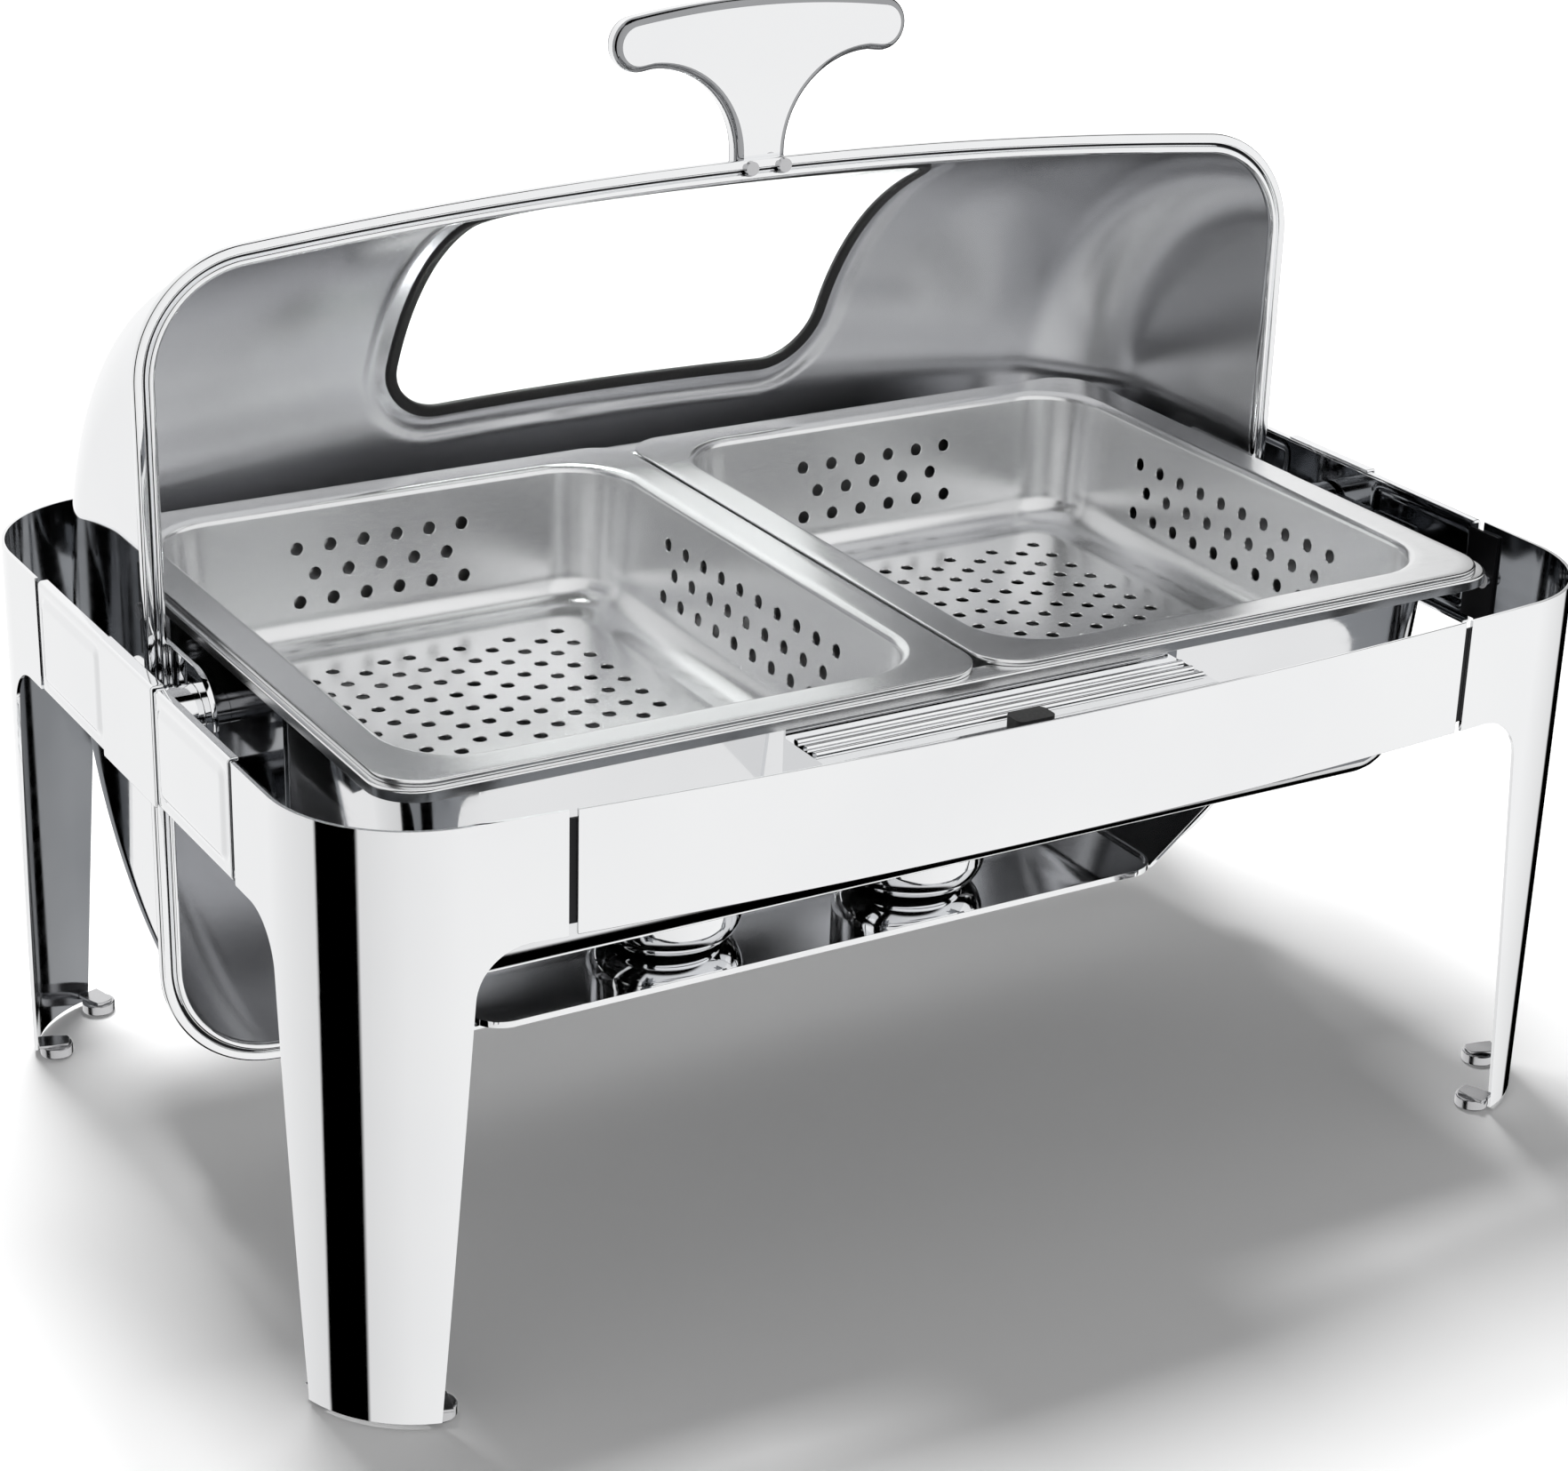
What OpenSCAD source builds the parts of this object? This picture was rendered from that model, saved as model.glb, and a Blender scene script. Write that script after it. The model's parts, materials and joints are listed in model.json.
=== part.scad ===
// Roll top chafer: an oblong food warmer with a barrel lid that rolls back about a cross axis.
// Origin: centre of the footprint on the table. +X along the length, +Y to the back, +Z up.
// The lid is drawn rolled open by a quarter turn, resting on its stop.

/* [Frame] */
// Outside length over the two side faces
frame_l = 606; // [590:1:640]
// Outside width where each long face meets its corners
frame_w = 398; // [394:1:420]
// Height of the frame's top edge
frame_h = 250; // [240:1:260]
// Height of the rails
rail_h = 50; // [40:1:60]
// Plan radius of the four corners
corner_r = 57; // [50:1:62]
// How far the middle of each long face stands out
bow = 13; // [8:1:20]
// Frame sheet thickness
sheet = 1.5; // [1:0.1:2]
// Gap at the seams between legs and rails
seam_gap = 3.5; // [2:0.5:5]

/* [Legs] */
// Width of a leg face at the table
leg_foot_w = 40.5; // [36:0.5:46]
// Width of a leg face where the arch starts
leg_top_w = 55; // [50:0.5:56]
// Length of the leg's flange along each rail
leg_flange = 91; // [86:1:100]
// Radius of the arch between leg and rail
arch_r = 22; // [16:1:26]
// Radius of a foot disc
foot_r = 7.5; // [6:0.5:10]
// Height of a foot disc
foot_h = 5; // [4:0.5:7]

/* [Lid] */
// Height of the roll axis
axis_z = 224; // [220:1:228]
// Outside radius of the lid at its middle
lid_r = 187; // [182:1:188]
// Half length of the lid over its flat ends
lid_half = 277; // [275:1:280]
// Radius of the slow curve along the barrel
barrel_r = 2500; // [2000:50:4000]
// Radius of the edge between barrel and flat ends
edge_r = 45; // [35:1:50]
// Lid sheet thickness
lid_t = 1.2; // [0.8:0.1:1.5]
// Distance from the roll axis to the plane of the rim
rim_off = 29; // [28:0.5:32]
// Width of the rim's outward flange
rim_w = 7; // [5:0.5:8]
// Depth of the rim's flange
rim_d = 4; // [3:0.5:5]

/* [Window] */
// Half width of the opening for the glass
win_half = 113; // [90:1:130]
// Lower edge of the opening, as an angle above the horizontal
win_low = 16; // [12:1:25]
// Upper edge of the opening, as an angle above the horizontal
win_high = 71; // [60:1:72]
// Corner radius of the opening
win_r = 28; // [20:1:35]
// Thickness of the glass
glass_t = 3; // [2:0.5:4]

/* [Handle] */
// Span of the crossbar
handle_span = 141; // [120:1:160]
// Height of the crossbar
bar_h = 23; // [18:1:26]
// Height of the crossbar's top over the table, lid open
handle_top = 483; // [475:1:495]
// Width of the stem
stem_w = 24; // [18:1:30]
// Thickness of the handle
handle_t = 10; // [8:1:14]

/* [Pans] */
// Length of the water pan over its flange
pan_l = 530; // [530:1:530]
// Width of the water pan over its flange
pan_w = 325; // [325:1:325]
// Depth of the water pan
water_depth = 99; // [90:1:100]
// Depth of a food pan
food_depth = 65; // [60:1:70]
// Pan sheet thickness
pan_t = 1; // [0.7:0.1:1.5]
// Radius of the drain holes
hole_r = 3; // [2:0.1:3.5]
// Spacing of the drain holes
hole_pitch = 16.2; // [15:0.1:17]

/* [Burners] */
// Height of the shelf's underside
shelf_z = 80; // [70:1:90]
// Distance of each fuel cup from the middle
cup_x = 64; // [60:1:80]
// Outside radius of a fuel cup
cup_r = 35; // [33:1:42]
// Height of a fuel cup
cup_h = 55; // [50:1:56]

/* [Hidden] */

$fn = 96;
big_fn = 256;                       // for the slow curves of the frame and the lid
eps = 0.01;
skin = 1;                           // overshoot of a cutter past the face it cuts

// Frame plan: small corner arcs run tangent into one large arc on each long face.
half_l = frame_l / 2;
half_w = frame_w / 2;
corner_x = half_l - corner_r;
corner_y = half_w - corner_r;
bow_r = (corner_x * corner_x / bow + 2 * corner_r + bow) / 2;
bow_y = bow_r - half_w - bow;       // centre of the front face's large arc
bow_a = asin(corner_x / (bow_r - corner_r));
settle = 0.05;                      // the large arc sits this far in, so that it crosses the corner arc
rail_z = frame_h - rail_h;
leg_z = 2;                          // the leg sheet stops above the table
tongue = 15;                        // how far a rail passes behind a leg
lap = 4;                            // length on which the tongue is welded to its rail
front_half = half_l - leg_flange - seam_gap;
side_half = half_w - leg_flange - seam_gap;
screw_r = 2;
head_h = 2.5;
end_gap = 5;                        // from a tongue's end to its screw

// Leg face outline: a tapered blade, an arch and a flange.
leg_slope = (leg_top_w - leg_foot_w) / (rail_z - arch_r);
arch_a = atan(leg_slope);
arch_steps = 14;
arch_s = leg_foot_w + leg_slope * (rail_z - arch_r) + arch_r / cos(arch_a);

// Side rail details.
lip = 4.5;                          // inward lips at the top and bottom of the side rails
panel_gap = 4;                      // plain border around the pressed panels
panel_out = 1;                      // how far the pressed panels stand out
cover_half = 29;                    // half width of the pivot cover
cover_t = 1.2;

// Pivot: a fixed pin on each side carries a hub on the lid.
pin_r = 6;
pin_fit = 0.05;                     // radial running clearance
hub_r = 12.5;
hub_gap = 2;                        // between the hub and the side rail
lug_t = 2.5;
lug_reach = 78;                     // the lug runs this far back along the lid's end
lug_margin = 8;                     // the lug is this much wider than the boss on each side
bracket_t = 2;
bracket_in = 260.5;                 // inner face of the bracket's inner plate
bracket_w = 60;
web_z = 202;
web_back = -5;                      // the web stays in front of the roll axis, below it

// Lid section: flat end, edge arc and barrel curve, all tangent.
edge_x = lid_half - edge_r;
edge_c = lid_r - barrel_r + sqrt(pow(barrel_r - edge_r, 2) - pow(edge_x, 2));
edge_a = asin(edge_x / (barrel_r - edge_r));
joint_x = edge_x - 2;                // weld between the lid's barrel and each end
win_mid = (win_low + win_high) / 2;
win_chord = lid_r * sin((win_high - win_low) / 2);
gasket_w = 4;                       // how far the gasket laps the sheet and the glass
gasket_t = 2;                       // rubber thickness on each face
rivet_at = [[40, -14], [40, 14], [66, 0]]; // along the lug and across it, from the pin
handle_screw_x = 8;
screw_z = axis_z + sqrt(pow(lid_r + rim_w / 2, 2) - pow(rim_off + rim_d, 2)) + 1;

// Pans.
flange_t = 1.2;
water_top = frame_h - 0.8;
water_edge = 5;                     // depth of the water pan's turned-down edge
water_flange = 11;
food_top = water_top + 2.4;
food_inset = 3;                     // food pan flanges stop short of the water pan's edge
food_flange = 14;
food_l = pan_w - 2 * food_inset;    // a food pan's long side runs front to back
food_w = pan_l / 2 - food_inset - 1;
food_x = food_w / 2 + 1;            // centre of the right food pan
food_corner = 35;
draft = 0.09;                       // inward slope of the pan walls
hole_row = 0.76 * hole_pitch;       // spacing of the rows of a staggered field
first_half = 5;                     // rows punched before the stagger starts over

// Ledge inside the front rail that carries the pan and meets the closed lid.
rest_half = 94;
rest_z = 236;
rest_back = -154;
rest_front = -206;
rest_lip = 26;                      // depth of the ledge's turned-down sides
rest_screw_x = 70;
rib_r = 1.6;
rib_gap = 7;
bumper_h = 4;

// Burners.
shelf_half_l = 175;
shelf_half_w = 54;
shelf_t = 1.5;
shelf_edge = 3;
cup_y = -8;
cup_t = 1.2;
cup_edge = 14;
mouth_r = 20;
cover_r = 24;
cover_pin_r = 2;
cover_arm = 28;                     // from the cup's middle to the cover's pin
cup_z = shelf_z + shelf_t;
cup_top = cup_z + cup_h;
hanger_t = 1.8;
hanger_knee = 146;                  // height at which a hanger bends upright
hanger_top = web_z + 10;
hanger_half = 24;

steel = "gainsboro";

// ---- shared shapes ----

// A wall bent to radius r, t thick inwards, from angle a0 through sweep a.
module bent_wall(r, t, a0, a, z, h) {
    rotate([0, 0, a0]) rotate_extrude(angle = a, $fn = big_fn)
        translate([r - t, z]) square([t, h]);
}

module rounded(l, w, r) {
    square([l - 2 * r, w], center = true);
    square([l, w - 2 * r], center = true);
    for (x = [-1, 1], y = [-1, 1])
        translate([x * (l / 2 - r), y * (w / 2 - r)]) circle(r = r);
}

// Mirrors a front left piece to any corner: sx and sy are -1 or 1.
module at_corner(sx, sy) {
    mirror([sx > 0 ? 1 : 0, 0, 0]) mirror([0, sy > 0 ? 1 : 0, 0]) children();
}

// Mirrors a left piece to the right side.
module at_side(s) {
    mirror([s > 0 ? 1 : 0, 0, 0]) children();
}

// Puts the revolved lid's own Z axis along X through the roll axis.
module on_axis() {
    translate([0, 0, axis_z]) rotate([0, 90, 0]) children();
}

// ---- frame ----

// Filled plan of the frame, set in by `in` from its outside.
module frame_plan(in) {
    tangent = corner_x + (corner_r - in) * sin(bow_a);
    intersection() {
        translate([0, bow_y]) circle(r = bow_r - in - settle, $fn = big_fn);
        translate([0, -bow_y]) circle(r = bow_r - in - settle, $fn = big_fn);
        square([2 * tangent, frame_w + 4 * bow], center = true);
    }
    for (x = [-1, 1], y = [-1, 1])
        translate([x * corner_x, y * corner_y]) circle(r = corner_r - in);
    square([frame_l - 2 * in, 2 * corner_y], center = true);
}

// What is cut away beside a leg's blade, seen square on: s runs from the corner along the face.
module leg_cut() {
    arch = [for (i = [0:arch_steps]) let (a = 180 - arch_a - i * (90 - arch_a) / arch_steps)
        [arch_s + arch_r * cos(a), rail_z - arch_r + arch_r * sin(a)]];
    polygon(concat([[leg_foot_w, 0]], arch, [[half_l, rail_z], [half_l, 0]]));
}

module leg(sx, sy) {
    reach = frame_l;
    color(steel) at_corner(sx, sy) difference() {
        translate([0, 0, leg_z]) linear_extrude(height = frame_h - leg_z) difference() {
            intersection() {
                frame_plan(0);
                translate([-half_l - skin, -half_w - bow])
                    square([leg_flange + skin, leg_flange + bow]);
            }
            frame_plan(sheet);
        }
        translate([-half_l, 0, 0]) rotate([90, 0, 0])
            linear_extrude(height = reach, center = true) leg_cut();
        translate([0, -half_w, 0]) rotate([90, 0, 90])
            linear_extrude(height = reach + 2, center = true) leg_cut();
    }
}

// Two discs under tabs welded inside each leg's free edges.
module feet(sx, sy) {
    inner = corner_r - sheet;
    edge = asin((corner_r - leg_foot_w) / corner_r);
    color(steel) at_corner(sx, sy) translate([-corner_x, -corner_y, 0])
        for (a = [180 + edge, 270 - edge])
            rotate([0, 0, a]) {
                translate([inner - foot_r - 1, 0, 0]) cylinder(r = foot_r, h = foot_h);
                translate([inner - foot_r - 7, -5, foot_h]) cube([foot_r + 6.5, 10, sheet]);
            }
}

module long_rail(s) {
    a = asin(front_half / bow_r);
    lap_a = asin((front_half - lap) / bow_r);
    end_a = asin((front_half + tongue) / bow_r);
    hole_a = asin((front_half + tongue - end_gap) / bow_r);
    color(steel) mirror([0, s > 0 ? 1 : 0, 0]) translate([0, bow_y, 0]) {
        bent_wall(bow_r, sheet, 270 - a, 2 * a, rail_z, rail_h);
        for (side = [-1, 1]) bent_wall(bow_r - sheet / 2, sheet, side < 0 ? 270 - a : 270 + lap_a,
            a - lap_a, rail_z + 4, rail_h - 8);
        for (side = [-1, 1]) difference() {
            bent_wall(bow_r - sheet - 0.1, sheet, side < 0 ? 270 - end_a : 270 + lap_a, end_a - lap_a,
                rail_z + 4, rail_h - 8);
            rotate([0, 0, side * hole_a]) translate([0, -bow_r, rail_z + rail_h / 2])
                rotate([-90, 0, 0]) cylinder(r = screw_r, h = 4 * sheet, $fn = 24);
        }
    }
}

module side_rail(s) {
    panel = side_half - cover_half - 2 * panel_gap;
    color(steel) at_side(s) difference() {
        union() {
            translate([-half_l, -side_half, rail_z]) cube([sheet, 2 * side_half, rail_h]);
            for (z = [rail_z, frame_h - sheet])
                translate([-half_l, -side_half, z]) cube([lip, 2 * side_half, sheet]);
            for (y = [-1, 1]) {
                translate([-half_l + sheet, y * (side_half + (tongue - lap) / 2) - (tongue + lap) / 2,
                    rail_z + 4]) cube([sheet, tongue + lap, rail_h - 8]);
                translate([-half_l - panel_out, y * (cover_half + panel_gap + panel / 2) - panel / 2,
                    rail_z + 6]) cube([panel_out, panel, rail_h - 12]);
            }
        }
        translate([-half_l - skin, 0, axis_z]) rotate([0, 90, 0])
            cylinder(r = pin_r, h = 4 * sheet);
        for (y = [-1, 1]) translate([-half_l, y * (side_half + tongue - end_gap), rail_z + rail_h / 2])
            rotate([0, 90, 0]) cylinder(r = screw_r, h = 4 * sheet, $fn = 24);
    }
}

// Plate over the pin's end, hooked over the rail's top edge.
module pivot_cover(s) {
    color(steel) at_side(s) {
        translate([-half_l - cover_t, -cover_half, rail_z]) cube([cover_t, 2 * cover_half, rail_h]);
        translate([-half_l - cover_t, -cover_half, frame_h])
            cube([lip + cover_t, 2 * cover_half, cover_t]);
    }
}

// Screws that hold each rail's tongue to the leg in front of it.
module frame_screws() {
    hole_a = asin((front_half + tongue - end_gap) / bow_r);
    color("silver") for (sx = [-1, 1], sy = [-1, 1]) at_corner(sx, sy) {
        translate([0, bow_y, rail_z + rail_h / 2]) rotate([0, 0, -hole_a])
            translate([0, sheet + settle - bow_r, 0]) rotate([-90, 0, 0]) screw(sheet + settle);
        translate([sheet - half_l, -side_half - tongue + end_gap, rail_z + rail_h / 2])
            rotate([0, 90, 0]) screw(sheet);
    }
}

// A pan-head screw along +Z: the shank starts at the origin and is l long under the head.
module screw(l, r = screw_r) {
    cylinder(r = r, h = l, $fn = 24);
    translate([0, 0, l]) cylinder(r = 2 * r, h = head_h, $fn = 32);
}

// ---- pivots ----

// U-shaped plate: one side on the rail, the other carries the pin's end and the water pan.
module pivot_bracket(s) {
    outer = half_l - sheet;
    color(steel) at_side(s) difference() {
        union() {
            translate([-outer, -bracket_w, web_z]) cube([bracket_t, bracket_w + web_back, 30]);
            translate([-outer, -bracket_w, web_z])
                cube([outer - bracket_in, bracket_w + web_back, bracket_t]);
            translate([-bracket_in - bracket_t, -bracket_w, web_z])
                cube([bracket_t, 2 * bracket_w, water_top - flange_t - web_z]);
            translate([-bracket_in, -bracket_w, water_top - flange_t - bracket_t])
                cube([4, 2 * bracket_w, bracket_t]);
        }
        translate([-outer - skin, 0, axis_z]) rotate([0, 90, 0]) cylinder(r = pin_r, h = 60);
    }
}

module pivot_pin(s) {
    color("silver") at_side(s) translate([-half_l, 0, axis_z]) rotate([0, 90, 0]) {
        cylinder(r = pin_r, h = half_l - bracket_in + 1.5);
        translate([0, 0, half_l - bracket_in]) cylinder(r = pin_r + 2, h = 3);
    }
}

// ---- ledge ----

module lid_rest() {
    depth = rest_back - rest_front;
    color(steel) difference() {
        union() {
            translate([-rest_half, rest_front, rest_z]) cube([2 * rest_half, depth, sheet]);
            translate([-rest_half, rest_back - sheet, rest_z])
                cube([2 * rest_half, sheet, water_top - flange_t - rest_z]);
            translate([-rest_half, rest_front, rest_z - rest_lip]) cube([2 * rest_half, sheet, rest_lip]);
            for (x = [-1, 1]) translate([x * (rest_half - sheet / 2) - sheet / 2, rest_front,
                rest_z - rest_lip]) cube([sheet, depth, rest_lip]);
            for (i = [1:3]) translate([-rest_half + sheet, rest_back - rib_gap * i, rest_z + sheet])
                rotate([0, 90, 0]) cylinder(r = rib_r, h = 2 * (rest_half - sheet), $fn = 24);
        }
        for (x = [-1, 1]) translate([x * rest_screw_x, rest_front - skin, rest_z - 10])
            rotate([-90, 0, 0]) cylinder(r = screw_r, h = 4, $fn = 24);
    }
}

module lid_bumper() {
    color("dimgray") translate([0, rest_front + 20, rest_z + sheet])
        linear_extrude(height = bumper_h) rounded(18, 11, 3);
}

// Screws with spacers that hold the ledge to the front rail.
module rest_screws() {
    wall = bow_y - sqrt(pow(bow_r - sheet, 2) - pow(rest_screw_x, 2));
    gap = 0.3;                      // the rail's bowed face leans away from the flat spacer
    color("silver") for (x = [-1, 1]) translate([x * rest_screw_x, wall, rest_z - 10]) rotate([-90, 0, 0]) {
        translate([0, 0, gap]) screw(rest_front + sheet - wall - gap);
        translate([0, 0, gap]) cylinder(r = 5, h = rest_front - wall - gap, $fn = 32);
    }
}

// ---- pans ----

// A solid tub: its walls lean in towards the floor and its corners are cones.
module tub(l, w, r, z_top, depth, lean) {
    in = depth * lean;
    for (x = [-1, 1], y = [-1, 1])
        translate([x * (l / 2 - r), y * (w / 2 - r), z_top - depth])
            cylinder(r1 = r - in, r2 = r, h = depth);
    translate([0, w / 2 - r, z_top]) rotate([90, 0, 0]) linear_extrude(height = w - 2 * r)
        polygon([[-l / 2, 0], [l / 2, 0], [l / 2 - in, -depth], [in - l / 2, -depth]]);
    translate([r - l / 2, 0, z_top]) rotate([90, 0, 90]) linear_extrude(height = l - 2 * r)
        polygon([[-w / 2, 0], [w / 2, 0], [w / 2 - in, -depth], [in - w / 2, -depth]]);
}

// A pan: flange l by w at z_top, with the tub set in by `flange` on every side.
module pan(l, w, flange, r, z_top, depth) {
    difference() {
        union() {
            translate([0, 0, z_top - flange_t]) linear_extrude(height = flange_t)
                rounded(l, w, 20);
            tub(l - 2 * flange + 2 * pan_t, w - 2 * flange + 2 * pan_t, r + pan_t, z_top, depth, draft);
        }
        translate([0, 0, eps]) tub(l - 2 * flange, w - 2 * flange, r, z_top, depth - pan_t, draft);
    }
}

module water_pan() {
    color(steel) {
        pan(pan_l, pan_w, water_flange, 38, water_top, water_depth);
        translate([0, 0, water_top - water_edge]) linear_extrude(height = water_edge - flange_t)
            difference() {
                rounded(pan_l, pan_w, 20);
                rounded(pan_l - 2 * flange_t, pan_w - 2 * flange_t, 20 - flange_t);
            }
    }
}

// Staggered holes along a line: rows of n, n-1, n ... holes, `rows` rows, upwards in Y.
module hole_field(n, rows, pitch_x, pitch_y, h) {
    for (j = [0:rows - 1])
        for (i = [0:n - 1 - j % 2])
            translate([(i - (n - 1 - j % 2) / 2) * pitch_x, (j - (rows - 1) / 2) * pitch_y, 0])
                cylinder(r = hole_r, h = h, center = true, $fn = 16);
}

// The floor's holes: rows across the pan, staggered in two groups that meet in line.
module floor_holes(rows, n, h) {
    for (i = [0:rows - 1]) {
        short = (i < first_half ? i : i - first_half) % 2;
        for (j = [0:n - 1 - short])
            translate([(i - (rows - 1) / 2) * hole_row, (j - (n - 1 - short) / 2) * hole_pitch, 0])
                cylinder(r = hole_r, h = h, center = true, $fn = 16);
    }
}

module food_pan(s) {
    wall_z = food_top - food_depth * 0.5;
    color(steel) translate([s * food_x, 0, 0]) difference() {
        pan(food_w, food_l, food_flange, food_corner, food_top, food_depth);
        translate([0, 0, food_top - food_depth]) floor_holes(12, 13, 8);
        for (y = [-1, 1]) translate([0, y * (food_l / 2 - food_flange), wall_z]) rotate([90, 0, 0])
            hole_field(6, 3, hole_pitch, hole_row, 30);
        for (x = [-1, 1]) translate([x * (food_w / 2 - food_flange), 0, wall_z])
            rotate([90, 0, 90]) hole_field(10, 3, hole_pitch, hole_row, 30);
    }
}

// ---- lid ----

// Half section of the lid, set in by `in`: X is the radius, Y runs along the roll axis.
module lid_section(in) {
    tangent = edge_x + (edge_r - in) * sin(edge_a);
    intersection() {
        translate([lid_r - barrel_r, 0]) circle(r = barrel_r - in, $fn = big_fn * 4);
        translate([0, -tangent]) square([lid_r + rim_w + skin, 2 * tangent]);
    }
    for (y = [-1, 1]) translate([edge_c, y * edge_x]) circle(r = edge_r - in);
    translate([0, -lid_half + in]) square([edge_c, 2 * (lid_half - in)]);
}

// The lid's wall between two insets, behind the rim's plane, from x = low to x = high.
module lid_wall(outer, inner, low = -frame_l / 2, high = frame_l / 2) {
    difference() {
        on_axis() rotate([0, 0, 180]) rotate_extrude(angle = 360, $fn = big_fn) intersection() {
            difference() {
                lid_section(outer);
                lid_section(inner);
            }
            translate([0, low]) square([lid_r + 2 * rim_w, high - low]);
        }
        translate([-half_l, rim_off - frame_w, axis_z - half_l]) cube([frame_l, frame_w, frame_l]);
    }
}

// A straight bar along the window's middle direction, larger than the opening by `grow`.
module window_bar(grow) {
    translate([0, 0, axis_z]) rotate([win_mid - 90, 0, 0]) translate([0, 0, lid_r * 0.7])
        linear_extrude(height = lid_r * 0.5)
            rounded(2 * (win_half + grow), 2 * (win_chord + grow), win_r + grow);
}

module lid_shell() {
    color(steel) difference() {
        lid_wall(0, lid_t, -joint_x, joint_x);
        window_bar(0);
    }
}

// Rounded end of the lid, welded to the barrel.
module lid_end(s) {
    color(steel) at_side(s) lid_wall(0, lid_t, -lid_half - skin, -joint_x);
}

module lid_rim() {
    color(steel) difference() {
        lid_wall(-rim_w, 0);
        translate([-half_l, rim_off + rim_d, axis_z - half_l]) cube([frame_l, frame_w, frame_l]);
        handle_holes();
    }
}

module window_glass() {
    color("lightblue", 0.35) intersection() {
        lid_wall(-(glass_t - lid_t) / 2, (glass_t + lid_t) / 2);
        window_bar(-1);
    }
}

module window_gasket() {
    half = glass_t / 2 - lid_t / 2 + gasket_t;
    color("black") difference() {
        intersection() {
            lid_wall(-half, half + lid_t);
            window_bar(gasket_w);
        }
        window_bar(-gasket_w);
        difference() {
            lid_wall(0, lid_t);
            window_bar(0);
        }
        intersection() {
            lid_wall(-(glass_t - lid_t) / 2, (glass_t + lid_t) / 2);
            window_bar(-1);
        }
    }
}

// Lug riveted inside the lid's end, with the boss that turns on the pin.
module lid_hub(s) {
    face = lid_half - lid_t;
    color("white") at_side(s) difference() {
        union() {
            translate([-face, 0, axis_z]) rotate([0, 90, 0]) cylinder(r = hub_r + lug_margin, h = lug_t);
            translate([-face, 0, axis_z - hub_r - lug_margin])
                cube([lug_t, lug_reach, 2 * (hub_r + lug_margin)]);
            translate([hub_gap - half_l + sheet, 0, axis_z]) rotate([0, 90, 0])
                cylinder(r = hub_r, h = half_l - sheet - hub_gap - face + lug_t);
        }
        translate([-half_l, 0, axis_z]) rotate([0, 90, 0]) cylinder(r = pin_r + pin_fit, h = 60);
        for (p = rivet_at) translate([-half_l, p[0], axis_z + p[1]]) rotate([0, 90, 0])
            cylinder(r = screw_r, h = 60, $fn = 24);
    }
}

module hub_rivets() {
    color("silver") for (s = [-1, 1]) at_side(s) for (p = rivet_at)
        translate([lug_t + lid_t - lid_half, p[0], axis_z + p[1]]) rotate([0, -90, 0]) {
            cylinder(r = screw_r, h = lug_t, $fn = 24);
            translate([0, 0, -1.5]) cylinder(r = 2 * screw_r, h = 1.5, $fn = 32);
        }
}

// Flat anchor-shaped handle: an arched crossbar on a flared stem.
module lid_handle() {
    end_r = bar_h / 2;
    half = handle_span / 2 - end_r;
    arch = 417;
    centre = handle_top - arch;
    end_a = asin(half / (arch - end_r));
    flare = 40;
    flare_x = stem_w / 2 + flare;
    flare_z = centre + sqrt(pow(arch - bar_h, 2) - pow(flare_x, 2)) - flare;
    foot = axis_z + sqrt(lid_r * lid_r - rim_off * rim_off) + 0.8;
    color(steel) difference() {
        translate([0, rim_off + rim_d + handle_t, 0]) rotate([90, 0, 0])
            linear_extrude(height = handle_t) {
                difference() {
                    intersection() {
                        translate([0, centre]) circle(r = arch, $fn = big_fn * 2);
                        translate([-half, centre]) square([2 * half, arch + skin]);
                    }
                    translate([0, centre]) circle(r = arch - bar_h, $fn = big_fn * 2);
                }
                for (s = [-1, 1]) translate([0, centre]) rotate(-s * end_a)
                    translate([0, arch - end_r]) circle(r = end_r);
                difference() {
                    polygon([[-flare_x, flare_z + flare + 8], [-flare_x, flare_z], [-stem_w / 2, flare_z],
                        [-stem_w / 2, foot], [stem_w / 2, foot], [stem_w / 2, flare_z],
                        [flare_x, flare_z], [flare_x, flare_z + flare + 8]]);
                    for (s = [-1, 1]) translate([s * flare_x, flare_z]) circle(r = flare);
                }
            }
        handle_holes();
    }
}

module handle_holes() {
    for (x = [-1, 1]) translate([x * handle_screw_x, rim_off - skin, screw_z]) rotate([-90, 0, 0])
        cylinder(r = 1.5, h = rim_d + 8 + skin, $fn = 24);
}

module handle_screws() {
    color("silver") for (x = [-1, 1]) translate([x * handle_screw_x, rim_off + rim_d + 8, screw_z])
        rotate([90, 0, 0]) screw(rim_d + 8, 1.5);
}

// ---- burners ----

module fuel_shelf() {
    color(steel) translate([0, 0, shelf_z]) {
        linear_extrude(height = shelf_t) rounded(2 * shelf_half_l, 2 * shelf_half_w, 15);
        linear_extrude(height = shelf_edge) difference() {
            rounded(2 * shelf_half_l, 2 * shelf_half_w, 15);
            rounded(2 * (shelf_half_l - shelf_t), 2 * (shelf_half_w - shelf_t), 15 - shelf_t);
        }
    }
}

// Bent strip: from under the shelf it rises past the water pan's end to the bracket.
module shelf_hanger(s) {
    outer = bracket_in;
    low_z = shelf_z - hanger_t;
    color(steel) at_side(s) translate([0, hanger_half - 22, 0]) rotate([90, 0, 0])
        linear_extrude(height = 2 * hanger_half) polygon([
            [25 - shelf_half_l, low_z], [-shelf_half_l - 1, low_z], [-outer, hanger_knee - 1],
            [-outer, hanger_top], [hanger_t - outer, hanger_top], [hanger_t - outer, hanger_knee],
            [-shelf_half_l, shelf_z], [25 - shelf_half_l, shelf_z]]);
}

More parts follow.
